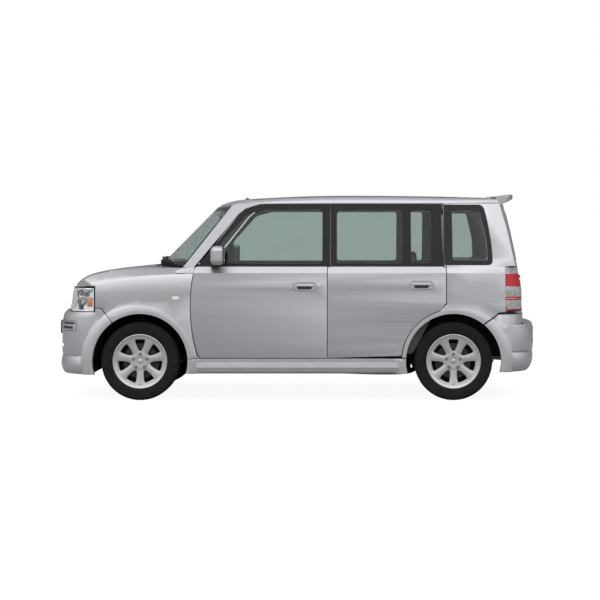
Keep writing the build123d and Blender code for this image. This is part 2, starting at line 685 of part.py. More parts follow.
def side_frame():
    """The left side frame: front pillar, roof rail, middle pillar and hinge pillar as one piece."""
    stations = (480, 430, 380, 310, 250, 120, 0, -220, -450, -680, -900, -1050, -1200, -1350, -1500, -1642)
    rail = loft_x(rail_section, stations, ruled=True) - block(-1700, -1594, 590, 646, 1500, 1700)
    rail_line = closed((500, 1500), (500, 1700), (-1599, 1700), (-1602, 1640), (-1640, RAIL_Z), (-1640, 1500))
    rail = rail & side_prism(rail_line, 500, 800)
    a_line = closed((899, 1058), (508, 1559), (460, RAIL_Z), (240, RAIL_Z), (292, 1567), (404, 1532), (464, 1484),
                    (811, 1061), (811, 1058))
    a_pillar = side_prism(a_line, 560, 900) & upper_shell(0, PILLAR_THICKNESS + 20, 1058, 1650)
    x_mid = DOOR_SPLIT_X - 22
    b_low = block(REAR_HINGE_X - 9, DOOR_SPLIT_X + 18, 690, 736, 243, 1005)
    b_low += block(REAR_HINGE_X - 9, DOOR_SPLIT_X + 18, 690, 726, 995, 1075)
    b_high = block(x_mid - 32, x_mid + 32, 560, 900, 1066, 1560) & upper_shell(60, 104, 1066, 1560)
    hinge = block(FRONT_HINGE_X - 6, 846, 640, 736, 243, 988)
    cowl_end = block(818, 905, 640, 712.2, 980, 1061 - SEAT_GAP)
    inner_sill = block(-860, 846, 690, 759.7, 243, 326)
    hinges = door_hinges(FRONT_HINGE_X) + door_hinges(REAR_HINGE_X)
    hinge_x, hinge_z = BONNET_HINGE
    bonnet_hinge = block(895, hinge_x, 668, 682, 1000, hinge_z)
    bonnet_hinge += y_cylinder(hinge_x, hinge_z, BARREL_RADIUS, 665, 685)
    bonnet_hinge += y_cylinder(hinge_x, hinge_z, PIN_RADIUS, 650, 700)
    return rail + a_pillar + b_low + b_high + hinge + cowl_end + inner_sill + hinges + bonnet_hinge


def roof_panel():
    """The roof between the rails, from the windscreen header to the tailgate, softly crowned."""
    stations = (-1594, -1200, -800, -450, -100, 250, 500, 600, 655)

    def section(y):
        top = [roof_point(x, y) for x in stations]
        low = [(x - 8 * (x > 0), z - 26) for x, z in top]
        return strip(top, low)

    panel = loft_y(section, (-599.7, -400, -200, 0, 200, 400, 599.7))
    for y in (-420, 420):
        panel += lid_hinge_leaf(1, y, 14)
        panel += y_cylinder(*TAILGATE_HINGE, 3, y - 26, y + 26)
    return panel


def lid_hinge_leaf(direction, y, half_width):
    """A flat hinge leaf with its barrel, on top of the roof or of the tailgate, beside the gap between them."""
    x, z = TAILGATE_HINGE
    ends = sorted((x, x + direction * 44))
    low, high = y - half_width, y + half_width
    return block(*ends, low, high, z - 12, z + 2) + y_cylinder(x, z, 7, low, high)


def windscreen():
    """The windscreen: a bowed, sloping pane between the pillars."""
    def section(z):
        front = [(windscreen_x(z) - windscreen_bow(z) * (y / 700) ** 2, y) for y in (-700, -400, 0, 400, 700)]
        back = [(x - 7, y) for x, y in front]
        return strip(front, back)

    pane_ = loft_z(section, (1040, 1200, 1400, 1560))
    low, high = 1061, 1556
    sides = [(upper_y(z) - PILLAR_THICKNESS - 20 - SEAT_GAP, z) for z in (low, high)]
    (y_low, _), (y_high, _) = sides
    limits = Curve() + [
        ThreePointArc((-y_low, low), (0, WINDSCREEN_LOW_Z), (y_low, low)),
        Polyline((y_low, low), (y_high, high), (-y_high, high), (-y_low, low)),
    ]
    return pane_ & section_prism(limits, 200, 1500)


def cowl_top_z(y):
    """Height of the cowl below the windscreen's foot."""
    return WINDSCREEN_LOW_Z - SEAT_GAP - 51 * (y / 699) ** 2


def windscreen_foot_x(y):
    """Front face of the windscreen where it stands on the cowl."""
    return windscreen_x(cowl_top_z(y)) - windscreen_bow(1100) * (y / 700) ** 2


def cowl_panel():
    """The panel that the windscreen stands on, bowed like its foot and lower at the sides."""
    def section(z):
        ys = (-700, -550, -400, -200, 0, 200, 400, 550, 700)
        front = [(windscreen_foot_x(y) + 46 - 40 * (y / 700) ** 4, y) for y in ys]
        back = [(windscreen_foot_x(y) - 44, y) for y in ys]
        return strip(front, back)

    prism = loft_z(section, (1012, 1120))
    top = Curve() + [
        ThreePointArc((-699, 1061 - SEAT_GAP), (0, WINDSCREEN_LOW_Z - SEAT_GAP), (699, 1061 - SEAT_GAP)),
        Polyline((699, 1061 - SEAT_GAP), (699, 1012), (-699, 1012), (-699, 1061 - SEAT_GAP)),
    ]
    return prism & section_prism(top, 200, 1500) & block(906, 1500, -636, 636, 1000, 1200)


def bonnet_wire(y):
    """The bonnet's section at a distance from the middle, from its bowed rear edge to the nose."""
    rear = BONNET_REAR_X - 255 * (y / 700) ** 2
    front = NOSE_TIP_X - NOSE_BOW * (y / 700) ** 2
    crown = 20 * (y / 700) ** 2

    def stretched(points):
        result = []
        for x, z in points:
            run = (x - BONNET_REAR_X) / (NOSE_TIP_X - BONNET_REAR_X)
            result.append((rear + run * (front - rear), z - crown * (1 - run**3)))
        return result

    top = ((BONNET_REAR_X, 1073), (1313, 1062), (1500, 1041), (1665, 1013), (1766, 980), (1816, 947), (1850, 908))
    low = ((BONNET_REAR_X, 1050), (1313, 1038), (1500, 1017), (1655, 988), (1745, 958), (1790, 930), (1820, 906))
    return strip(stretched(top), stretched(low))


def bonnet():
    half = BONNET_HALF_WIDTH
    lid = loft_y(bonnet_wire, (-half, -550, -350, 0, 350, 550, half))
    x, z = BONNET_HINGE
    for low, high in ((650, 664), (686, 700)):
        eye = y_cylinder(x, z, BARREL_RADIUS, low, high) + block(x - 9, x + 9, low, high, z, z + 8)
        eye += block(x, x + 30, low, high, z - 4, z + 8)
        lid += eye + other_side(eye)
    room = y_cylinder(x, z, PIN_RADIUS + RUNNING_CLEARANCE, 640, 706)
    room += y_cylinder(x, z, BARREL_RADIUS + 4, 664.3, 685.7)
    return lid - room - other_side(room)


def tail_shell(inset):
    return loft_z(
        lambda z: nose_outline(level_value(TAIL_REAR, z), tail_half_width(z), 130, 45, -1400, inset),
        (680, 881, 1079, 1345, 1604),
    )


def tail_half_width(z):
    if z < BELT_Z:
        return side_y(z) - 20
    return upper_y(z) - 18


def tailgate():
    """The tailgate: one tall lid from the bumper to the roof, with its spoiler and the window cut through."""
    shell = tail_shell(0) - tail_shell(46)
    line = closed((-1676 - GAP, 690), (-1676 - GAP, 1070 + GAP), (-1762 - GAP, 1070 + GAP), (-1750, 1145),
                  (-1701, 1371),
                  (-1652, 1558), (-1649, 1600), (-2000, 1600), (-2000, 690))
    lid = shell & side_prism(line, -900, 900)
    step = 1070 + GAP
    upper_limit = closed((-660, 690), (660, 690), (660, step), (800, step), (800, 1600), (-800, 1600), (-800, step),
                         (-660, step))
    lid = lid & section_prism(upper_limit, -2000, -1500)
    spoiler_line = closed((-1606, 1631), (-1700, 1646), (-1803, 1650), (-1803, 1630), (-1720, 1592), (-1652, 1560))
    spoiler = side_prism(spoiler_line, -640, 640)
    spoiler = spoiler & plan_prism(nose_outline(-1802, 652, 90, 70, -1500), 1500, 1700)
    lid += spoiler - tail_window(0)
    for y in (-420, 420):
        for offset in (-20, 20):
            lid += lid_hinge_leaf(-1, y + offset, 5.7)
            lid -= y_cylinder(*TAILGATE_HINGE, 3 + RUNNING_CLEARANCE, y + offset - 8, y + offset + 8)
        lid -= y_cylinder(*TAILGATE_HINGE, 7 + 2 * SEAT_GAP, y - 14 - SEAT_GAP, y + 14 + SEAT_GAP)
    return lid - tail_window(0)


def tail_window(inset):
    points = [(-560 + inset, 1120 + inset), (560 - inset, 1120 + inset), (520 - inset, 1500 - inset),
              (-520 + inset, 1500 - inset)]
    return section_prism(rounded(points, 40), -1990, -1500)


def tail_glass():
    return (tail_shell(14) - tail_shell(19)) & tail_window(SEAT_GAP)


def lamp_body(outer_inset, inner_inset, z_low, z_high):
    """A band of the front corner between two depths below the lens surface."""
    levels = (z_low, 850, z_high)

    def outline(z, inset):
        return nose_outline(level_value(NOSE_FRONT, z), NOSE_HALF_WIDTH, 235, NOSE_BOW, 1300, inset)

    return loft_z(lambda z: outline(z, outer_inset), levels) - loft_z(lambda z: outline(z, inner_inset), levels)


def lamp_limits(inset=0.0):
    low, high = BUMPER_TOP_Z + SEAT_GAP + inset, LAMP_TOP_Z - 5 - inset
    return block(LAMP_REAR_X + inset, 2000, LAMP_INNER_Y + inset, 900, low, high)


def head_lamp_lens():
    """The left headlamp's clear cover."""
    return lamp_body(0, 5, BUMPER_TOP_Z, LAMP_TOP_Z) & lamp_limits()


def head_lamp_bowl():
    """The left headlamp's housing, open behind the cover."""
    shell = lamp_body(5 + SEAT_GAP, 110, BUMPER_TOP_Z, LAMP_TOP_Z) & lamp_limits()
    return shell - (lamp_body(0, 80, BUMPER_TOP_Z, LAMP_TOP_Z) & lamp_limits(14))


def grille():
    """The panel and bars between the headlamps."""
    def outline(z, inset=0.0):
        return nose_outline(level_value(NOSE_FRONT, z) - 4, NOSE_HALF_WIDTH, 235, NOSE_BOW, 1300, inset)

    body = loft_z(outline, (700, 850, 890)) - loft_z(lambda z: outline(z, 40), (700, 850, 890))
    half = LAMP_INNER_Y - SEAT_GAP
    body = body & block(1600, 2000, -half, half, BUMPER_TOP_Z + SEAT_GAP, 888)
    for z in (738, 788, 838):
        body -= block(1600, 2000, -360, 360, z, z + 30)
    return body


def tail_lamp(outer_inset, inner_inset):
    """A band of the left tail lamp, wrapped round the rear corner from the side to the tailgate."""
    band = tail_shell(outer_inset) - tail_shell(inner_inset)
    return band & block(-1900, -1676 - SEAT_GAP, 668, 900, 712, 1070 - SEAT_GAP)


# --- cabin and running gear ----------------------------------------------------------------------
def floor_pan():
    """The floor, tunnel, dash wall, rear floor and wheel housings that hold the car together."""
    tub = block(-900, 875, -758, 758, 215, 243)
    tub += block(-470, 850, -120, 120, 240, 330)
    tub += block(848, 875, -636, 636, 240, 1030)
    tub += block(-930, -900, -600, 600, 215, 440)
    tub += block(-1680, -900, -560, 560, 412, 440)
    tub += block(-1700, -1672, -600, 600, 412, 664 - SEAT_GAP)
    for side in (1, -1):
        well = y_cylinder(REAR_AXLE_X, WHEEL_Z, 398, 590, 756) - y_cylinder(REAR_AXLE_X, WHEEL_Z, 384, 604, 800)
        well = well & block(-1700, -700, 500, 800, 334, 800)
        tub += well if side == 1 else other_side(well)
        link = block(-1680, -900, 540, 604, 412, 440)
        tub += link if side == 1 else other_side(link)
        liner = y_cylinder(FRONT_AXLE_X, WHEEL_Z, 396, 404, 752) - y_cylinder(FRONT_AXLE_X, WHEEL_Z, 385, 412, 800)
        room = block(848, 1620, 380, 800, 330, 720) - Pos(FRONT_AXLE_X, KINGPIN_Y, 700) * Cylinder(64, 100)
        liner = liner & room
        tub += liner if side == 1 else other_side(liner)
        tub -= Pos(FRONT_AXLE_X, side * KINGPIN_Y, WHEEL_Z) * Cylinder(TURNING_RADIUS, 160)
    tub += block(875, 1110, -636, 636, 985, 1015) + cowl_panel()
    behind = BUMPER_THICKNESS + SEAT_GAP
    beam = plan_prism(nose_outline(REAR_X, FLARE_Y, 225, TAIL_BOW, -1400, behind), 450, 520)
    beam -= plan_prism(nose_outline(REAR_X, FLARE_Y, 225, TAIL_BOW, -1300, 80), 440, 530)
    tub += beam & block(-2000, -1790, -900, 900, 400, 600)
    for side in (1, -1):
        tub += block(-1900, -1690, side * 330 - 30, side * 330 + 30, 450, 520)
    return tub


def front_structure():
    """The front frame: two rails, cross members, the suspension towers and the lower arms."""
    frame = block(1740, 1790, -600, 600, 300, 420) + block(1180, 1300, -400, 400, 160, 220)
    behind = BUMPER_THICKNESS + SEAT_GAP
    beam = plan_prism(nose_outline(BUMPER_FACE_X, FLARE_Y - 1, 246, BUMPER_BOW, 1400, behind), 530, 556)
    beam -= plan_prism(nose_outline(BUMPER_FACE_X, FLARE_Y - 1, 246, BUMPER_BOW, 1300, 80), 500, 600)
    frame += beam & block(1790, 2000, -900, 900, 500, 600)
    for side in (1, -1):
        piece = block(875, 1790, 345, 400, 300, 420)
        piece += block(1212, 1263, 380, 600, 150, 176) + Pos(FRONT_AXLE_X, KINGPIN_Y, 163) * Cylinder(19, 26)
        piece += block(1200, 1275, 345, 400, 176, 320)
        piece += block(1300, 1370, 325 + SEAT_GAP, 350, 330, 400) + block(1740, 1860, 345, 400, 300, 420)
        piece += block(1810, 1880, 345, 400, 400, 556)
        piece += Pos(FRONT_AXLE_X, KINGPIN_Y, 800) * Cylinder(62, 220) - Pos(FRONT_AXLE_X, KINGPIN_Y, 730) * Cylinder(23, 100)
        piece += block(1185, 1290, 380, 570, 840, 900) + block(1185, 1290, 345, 395, 400, 900)
        frame += piece if side == 1 else other_side(piece)
    return frame


def knuckle():
    """The left steering knuckle: the strut's lower tube, the hub carrier and the stub the wheel turns on."""
    post = Pos(FRONT_AXLE_X, KINGPIN_Y, 466) * Cylinder(19, 580)
    carrier = block(FRONT_AXLE_X - 34, FRONT_AXLE_X + 34, KINGPIN_Y - 14, KINGPIN_Y + 16, 250, 372)
    carrier = fillet(carrier.edges().filter_by(Axis.Y), 12)
    stub = y_cylinder(FRONT_AXLE_X, WHEEL_Z, STUB_RADIUS, KINGPIN_Y + 10, WHEEL_Y + 58)
    return post + carrier + stub


def rear_axle():
    """The rear beam with its trailing arms, springs and the stubs the wheels turn on."""
    beam = y_cylinder(REAR_AXLE_X + 180, WHEEL_Z - 20, 34, -560, 560)
    for side in (1, -1):
        arm = block(REAR_AXLE_X - 40, -930 - SEAT_GAP, 500, 548, 270, 340)
        arm += y_cylinder(REAR_AXLE_X, WHEEL_Z, STUB_RADIUS, 540, WHEEL_Y + 58)
        arm += Pos(REAR_AXLE_X + 90, 524, 375.85) * Cylinder(40, 71.7)
        beam += arm if side == 1 else other_side(arm)
    return beam


def tyre():
    """A tyre about the origin, its axis along Y and its outer face towards +Y."""
    half = TYRE_WIDTH / 2
    profile = FilletPolyline(
        (BEAD_RADIUS, half - 12), (BEAD_RADIUS + 15, half - 12), (BEAD_RADIUS + 42, half), (TYRE_RADIUS - 40, half - 2),
        (TYRE_RADIUS, half - 22), (TYRE_RADIUS, -half + 22), (TYRE_RADIUS - 40, -half + 2), (BEAD_RADIUS + 42, -half),
        (BEAD_RADIUS + 15, -half + 12), (BEAD_RADIUS, -half + 12),
        radius=5, close=True,
    )
    return revolve(make_face(profile), axis=Axis.Y, revolution_arc=360)


def rim():
    """A seven-spoke rim about the origin, with the hub and brake disc behind it."""
    half = TYRE_WIDTH / 2
    bead = BEAD_RADIUS - RUNNING_CLEARANCE
    barrel = revolve(
        make_face(Polyline(
            (bead, half - 11.9), (RIM_RADIUS, half - 11.9), (RIM_RADIUS, half - 5), (bead - 10, half - 3),
            (bead - 12, half - 20), (bead - 9, -half + 3), (RIM_RADIUS, -half + 5), (RIM_RADIUS, -half + 11.9),
            (bead, -half + 11.9), close=True)),
        axis=Axis.Y, revolution_arc=360)
    hub = y_cylinder(0, 0, HUB_RADIUS, half - 62, half - 20)
    wheel = barrel + hub
    for i in range(SPOKES):
        spoke = Plane.XZ * make_face(Polyline((-30, 40), (30, 40), (21, bead - 4), (-21, bead - 4), close=True))
        bar = extrude(spoke, amount=26, both=True)
        wheel += Rot(0, 180 + i * 360 / SPOKES, 0) * Pos(0, half - 34, 0) * bar
    disc = y_cylinder(0, 0, DISC_RADIUS, 8, 30) + y_cylinder(0, 0, HUB_RADIUS, 20, half - 50)
    wheel += disc
    return wheel - y_cylinder(0, 0, STUB_RADIUS + RUNNING_CLEARANCE, -half, half - 34)


def wheel_at(piece, x, side):
    """A left-hand wheel piece placed on its axle, or its right-hand copy."""
    placed = Pos(x, WHEEL_Y, WHEEL_Z) * piece
    return placed if side == 1 else other_side(placed)


def seat(x, y, width):
    """A seat: cushion, back and headrest."""
    cushion = fillet(block(x - 230, x + 270, y - width / 2, y + width / 2, 440, 575).edges(), 40)
    corners = (x - 300, 520), (x - 140, 520), (x - 260, 1110), (x - 360, 1110)
    back_line = FilletPolyline(*corners, radius=40, close=True)
    back = side_prism(back_line, y - width / 2 + 10, y + width / 2 - 10)
    rest = fillet(block(x - 350, x - 265, y - 120, y + 120, 1090, 1280).edges(), 30)
    foot = block(x - 180, x + 200, y - width / 2 + 60, y + width / 2 - 60, 243 + SEAT_GAP, 450)
    return cushion + back + rest + foot


def front_seats():
    left = seat(60, 345, 500)
    return Compound(list(left.solids()) + list(other_side(left).solids()))


def rear_seat():
    """The rear bench with its back and three headrests."""
    cushion = fillet(block(-860, -420, -600, 600, 440, 570).edges(), 40)
    back_line = FilletPolyline((-960, 500), (-800, 500), (-900, 1060), (-1010, 1060), radius=40, close=True)
    bench = cushion + side_prism(back_line, -585, 585) + block(-880, -500, -500, 500, 243 + SEAT_GAP, 450)
    for y in (-370, 0, 370):
        bench += fillet(block(-1000, -920, y - 120, y + 120, 1040, 1210).edges(), 28)
    return bench


def dashboard():
    """The dashboard from pillar to pillar, with the column that carries the steering wheel."""
    corners = (848 - SEAT_GAP, 660), (700, 640), (620, 760), (640, 930), (848 - SEAT_GAP, 985)
    line = FilletPolyline(*corners, radius=35, close=True)
    board = side_prism(line, -634, 634)
    column = Plane(origin=STEER_CENTRE, z_dir=STEER_AXIS) * Pos(0, 0, 90) * Cylinder(STEER_STUB + 14, 90)
    stub = Plane(origin=STEER_CENTRE, z_dir=STEER_AXIS) * Pos(0, 0, 40) * Cylinder(STEER_STUB, 70)
    return board + column + stub


STEER_CENTRE = (500.0, 360.0, 880.0)
STEER_AXIS = (math.cos(math.radians(25)), 0.0, -math.sin(math.radians(25)))
STEER_STUB = 12.0


def steering_wheel():
    """The steering wheel: a rim, three spokes and a boss on the end of its column."""
    plane = Plane(origin=STEER_CENTRE, x_dir=(0, 1, 0), z_dir=STEER_AXIS)
    wheel = Torus(182, 15) + Pos(0, 0, 6) * Cylinder(56, 44)
    for angle in (0, 180, 270):
        wheel += Rot(0, 0, angle) * Pos(110, 0, 4) * Box(130, 34, 16)
    wheel -= Pos(0, 0, 40) * Cylinder(STEER_STUB + RUNNING_CLEARANCE, 70)
    return plane * wheel


def engine_block():
    block_ = block(1080, 1560, -325, 325, 240, 860)
    return fillet(block_.edges(), 18)


def fuel_tank():
    """The fuel tank below the rear seat and the silencer with its pipe."""
    tank = fillet(block(-860, -480, -300, 300, 176, 215 - SEAT_GAP).edges(), 12)
    pipe = y_cylinder(-1560, 300, 70, -330, 330)
    hanger = block(-1620, -1500, -300, 300, 350, 412 - SEAT_GAP)
    return Compound(list(tank.solids()) + list((pipe + hanger).solids()))


def wiper(y_spindle, y_tip):
    """A wiper at rest: a spindle standing on the cowl, and its arm and blade along the windscreen's foot."""
    def section(y):
        x = windscreen_foot_x(y) + 24
        z = cowl_top_z(y) + 8
        return closed((x - 7, z), (x + 7, z), (x + 7, z + 12), (x - 7, z + 12))

    low, high = sorted((y_spindle, y_tip))
    blade = loft_y(section, [low + (high - low) * i / 4 for i in range(5)])
    x = windscreen_foot_x(y_spindle) + 24
    z = cowl_top_z(abs(y_spindle) - 11)
    return blade + Pos(x, y_spindle, z + 10 + SEAT_GAP) * Cylinder(11, 20)


def wipers():
    return Compound([wiper(40, 520).solid(), wiper(-500, -60).solid()])


def quarter_glass():
    opening = side_prism(offset(make_face(rounded(QUARTER_WINDOW, 24)), amount=-SEAT_GAP).wires()[0], 560, 900)
    return both_sides(opening & rear_side(6, 12))


def main():
    os.makedirs("parts", exist_ok=True)
    hung_doors()
    save(floor_pan(), "floor_pan")
    save(front_structure(), "front_structure")
    save(both_sides(side_frame()), "side_frames")
    save(both_sides(rear_quarter()), "rear_quarters")
    save(both_sides(front_fender()), "front_fenders")
    save(both_sides(side_skirt()), "side_skirts")
    save(front_bumper(), "front_bumper")
    save(rear_bumper(), "rear_bumper")
    save(roof_panel(), "roof_panel")
    save(windscreen(), "windscreen")
    save(quarter_glass(), "quarter_glass")
    save(bonnet(), "bonnet")
    save(tailgate(), "tailgate")
    save(tail_glass(), "tailgate_glass")
    save(both_sides(head_lamp_lens()), "head_lamp_lenses")
    save(both_sides(head_lamp_bowl()), "head_lamp_bowls")
    save(grille(), "radiator_grille")
    save(both_sides(tail_lamp(0, 5)), "tail_lamp_lenses")
    save(both_sides(tail_lamp(5 + SEAT_GAP, 60)), "tail_lamp_housings")
    save(rear_axle(), "rear_axle")
    save(engine_block(), "engine_block")
    save(fuel_tank(), "fuel_tank")
    save(dashboard(), "dashboard")
    save(steering_wheel(), "steering_wheel")
    save(front_seats(), "front_seats")
    save(rear_seat(), "rear_seat")
    save(wipers(), "wipers")
    left_knuckle = knuckle()
    save(left_knuckle, "knuckle_left")
    save(other_side(left_knuckle), "knuckle_right")
    for x, end in ((FRONT_AXLE_X, "front"), (REAR_AXLE_X, "rear")):
        for side, name in ((1, "left"), (-1, "right")):
            save(wheel_at(tyre(), x, side), f"tyre_{end}_{name}")
            save(wheel_at(rim(), x, side), f"rim_{end}_{name}")


main()
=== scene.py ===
import json
import math

import bmesh
import bpy
from mathutils import Matrix, Vector
from mathutils.bvhtree import BVHTree


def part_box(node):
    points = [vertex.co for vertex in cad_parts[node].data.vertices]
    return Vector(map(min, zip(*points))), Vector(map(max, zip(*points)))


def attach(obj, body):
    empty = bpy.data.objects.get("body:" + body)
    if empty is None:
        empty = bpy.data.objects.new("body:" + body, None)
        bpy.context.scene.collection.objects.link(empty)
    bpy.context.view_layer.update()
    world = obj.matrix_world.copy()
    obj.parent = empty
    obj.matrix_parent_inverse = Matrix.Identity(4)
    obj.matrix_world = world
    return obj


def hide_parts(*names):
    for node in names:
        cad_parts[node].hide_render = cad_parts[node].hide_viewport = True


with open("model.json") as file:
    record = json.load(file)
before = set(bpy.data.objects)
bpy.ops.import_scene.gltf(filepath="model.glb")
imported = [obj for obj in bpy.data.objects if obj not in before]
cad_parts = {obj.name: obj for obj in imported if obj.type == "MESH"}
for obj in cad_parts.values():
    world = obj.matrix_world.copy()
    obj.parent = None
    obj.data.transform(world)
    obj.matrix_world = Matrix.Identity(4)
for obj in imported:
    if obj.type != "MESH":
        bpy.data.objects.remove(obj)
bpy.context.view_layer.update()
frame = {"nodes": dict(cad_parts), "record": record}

# Lengths in this file are in millimetres until a piece is made, and metres in Blender.
NODES = frame["nodes"]
MM = 0.001
SIDES = ((1, "left"), (-1, "right"))


# --- shader helpers ------------------------------------------------------------------------------
class Graph:
    """A material's or a group's node tree, with short calls for the nodes used here."""

    def __init__(self, name, **sockets):
        self.material = bpy.data.materials.new(name)
        self.material.use_nodes = True
        self.tree = self.material.node_tree
        self.bsdf = self.tree.nodes["Principled BSDF"]
        for key, value in sockets.items():
            self.bsdf.inputs[key.replace("_", " ")].default_value = value

    def add(self, kind, inputs=None, **settings):
        node = self.tree.nodes.new(kind)
        for key, value in settings.items():
            setattr(node, key, value)
        for key, value in (inputs or {}).items():
            self.plug(value, node.inputs[key])
        return node

    def plug(self, value, socket):
        if isinstance(value, bpy.types.NodeSocket):
            self.tree.links.new(value, socket)
        else:
            socket.default_value = value

    def coords(self):
        return self.add("ShaderNodeTexCoord").outputs["Object"]

    def height(self):
        return self.add("ShaderNodeSeparateXYZ", {"Vector": self.coords()}).outputs["Z"]

    def noise(self, scale, detail=3.0, rough=0.5):
        node = self.add("ShaderNodeTexNoise", {"Scale": scale, "Detail": detail, "Roughness": rough})
        self.plug(self.coords(), node.inputs["Vector"])
        return node.outputs["Fac"]

    def ramp(self, fac, low, high, a=0.0, b=1.0):
        return self.add("ShaderNodeMapRange", {"Value": fac, 1: low, 2: high, 3: a, 4: b}).outputs["Result"]

    def mix(self, fac, a, b):
        return self.add("ShaderNodeMix", {0: fac, 6: a, 7: b}, data_type="RGBA").outputs[2]

    def math(self, operation, a, b=0.5):
        return self.add("ShaderNodeMath", {0: a, 1: b}, operation=operation).outputs[0]

    def set(self, socket, value):
        self.plug(value, self.bsdf.inputs[socket])

    def bump(self, height, strength=0.2, distance=0.001):
        node = self.add("ShaderNodeBump", {"Height": height, "Strength": strength, "Distance": distance})
        self.set("Normal", node.outputs["Normal"])


def grey(value):
    return (value, value, value, 1)


def add_object(name, data):
    """A new object in the scene, at the origin."""
    obj = bpy.data.objects.new(name, data)
    bpy.context.collection.objects.link(obj)
    return obj


def mesh_of(name, verts, faces):
    """A mesh from points in millimetres."""
    mesh = bpy.data.meshes.new(name)
    mesh.from_pydata([Vector(v) * MM for v in verts], [], faces)
    return mesh


def wire(tree, pairs):
    for source, target in pairs:
        tree.links.new(source, target)


def dust_and_low_shade_group():
    """A shared group: how much of a brownish grey to mix in, more towards the ground and in soft patches:
    painted shade low on the body and rims, with some dust.
    """
    tree = bpy.data.node_groups.new("dust_and_low_shade", "ShaderNodeTree")
    tree.interface.new_socket("Low", in_out="INPUT", socket_type="NodeSocketFloat").default_value = 0.15
    tree.interface.new_socket("High", in_out="INPUT", socket_type="NodeSocketFloat").default_value = 0.5
    tree.interface.new_socket("Amount", in_out="INPUT", socket_type="NodeSocketFloat").default_value = 0.25
    tree.interface.new_socket("Dust_and_shade", in_out="OUTPUT", socket_type="NodeSocketFloat")
    start, end = tree.nodes.new("NodeGroupInput"), tree.nodes.new("NodeGroupOutput")
    coords, split = tree.nodes.new("ShaderNodeTexCoord"), tree.nodes.new("ShaderNodeSeparateXYZ")
    fall, cloud = tree.nodes.new("ShaderNodeMapRange"), tree.nodes.new("ShaderNodeTexNoise")
    kinds = ("ShaderNodeMapRange", "ShaderNodeMath", "ShaderNodeMath")
    patch, once, scaled = (tree.nodes.new(kind) for kind in kinds)
    cloud.inputs["Scale"].default_value, cloud.inputs["Detail"].default_value = 9.0, 5.0
    patch.inputs[1].default_value, patch.inputs[2].default_value = 0.3, 0.75
    once.operation = scaled.operation = "MULTIPLY"
    wire(tree, (
        (coords.outputs["Object"], split.inputs[0]), (coords.outputs["Object"], cloud.inputs["Vector"]),
        (split.outputs["Z"], fall.inputs["Value"]), (start.outputs["High"], fall.inputs[1]),
        (start.outputs["Low"], fall.inputs[2]), (cloud.outputs["Fac"], patch.inputs["Value"]),
        (fall.outputs["Result"], once.inputs[0]), (patch.outputs["Result"], once.inputs[1]),
        (once.outputs[0], scaled.inputs[0]), (start.outputs["Amount"], scaled.inputs[1]),
        (scaled.outputs[0], end.inputs["Dust_and_shade"]),
    ))
    return tree


DUST_AND_LOW_SHADE = dust_and_low_shade_group()
# The brownish grey mixed in low down: painted shade on the paint and rims, a dust tint on the tyres.
DUST_AND_SHADE_COLOUR = (0.26, 0.24, 0.21, 1)
PAINT_DARK, PAINT_LIGHT = (0.435, 0.442, 0.468, 1), (0.515, 0.522, 0.548, 1)


def dust_and_shade_mix(g, colour, low=0.15, high=0.5, amount=0.25):
    """Mixes a brownish grey over a colour towards the ground: painted shade, with some dust."""
    group = g.add("ShaderNodeGroup", node_tree=DUST_AND_LOW_SHADE)
    for name, value in (("Low", low), ("High", high), ("Amount", amount)):
        group.inputs[name].default_value = value
    return g.mix(group.outputs["Dust_and_shade"], colour, DUST_AND_SHADE_COLOUR)


def paint_material():
    """Silver metallic paint: fine flakes under a clear coat, with painted shade and a little dust mixed in low
    on the body.
    """
    g = Graph("paint", Metallic=0.72, Coat_Weight=0.8, Coat_Roughness=0.06)
    tone = g.mix(g.ramp(g.noise(900.0, 1.0, 0.4), 0.35, 0.65), PAINT_DARK, PAINT_LIGHT)
    g.set("Base Color", dust_and_shade_mix(g, tone))
    g.set("Roughness", g.ramp(g.noise(14.0, 4.0), 0.3, 0.7, 0.36, 0.43))
    return g.material


def two_zone_material(name, split_z):
    """Silver paint below a height and satin black above it."""
    g = Graph(name, Coat_Roughness=0.05)
    upper = g.math("GREATER_THAN", g.height(), split_z)
    tone = g.mix(g.ramp(g.noise(900.0, 1.0, 0.4), 0.35, 0.65), PAINT_DARK, PAINT_LIGHT)
    # The silver part gets painted shade and a little dust towards the ground.
    g.set("Base Color", g.mix(upper, dust_and_shade_mix(g, tone), grey(0.007)))
    g.set("Metallic", g.ramp(upper, 0, 1, 0.72, 0.0))
    g.set("Roughness", g.ramp(upper, 0, 1, 0.39, 0.34))
    g.set("Coat Weight", g.ramp(upper, 0, 1, 0.8, 0.0))
    g.set("Specular IOR Level", g.ramp(upper, 0, 1, 0.5, 0.3))
    return g.material


def plain_material(name, colour, rough, metallic=0.0, grain=0.0, scale=400.0, variation=0.15, dust=0.0,
                   **sockets):
    """A solid colour with slight tonal change and a fine surface grain."""
    g = Graph(name, Metallic=metallic, **sockets)
    dark = tuple(c * (1 - variation) for c in colour[:3]) + (1,)
    tone = g.mix(g.ramp(g.noise(12.0, 4.0), 0.3, 0.7), dark, tuple(colour[:3]) + (1,))
    # The dust setting mixes a brownish grey in towards the ground: painted shade on the rims, a dust tint on
    # the tyres.
    g.set("Base Color", dust_and_shade_mix(g, tone, 0.0, 0.7, dust) if dust else tone)
    g.set("Roughness", g.ramp(g.noise(30.0, 3.0), 0.3, 0.7, rough * 0.88, min(1.0, rough * 1.12)))
    if grain:
        g.bump(g.noise(scale, 2.0), 0.5, grain)
    return g.material


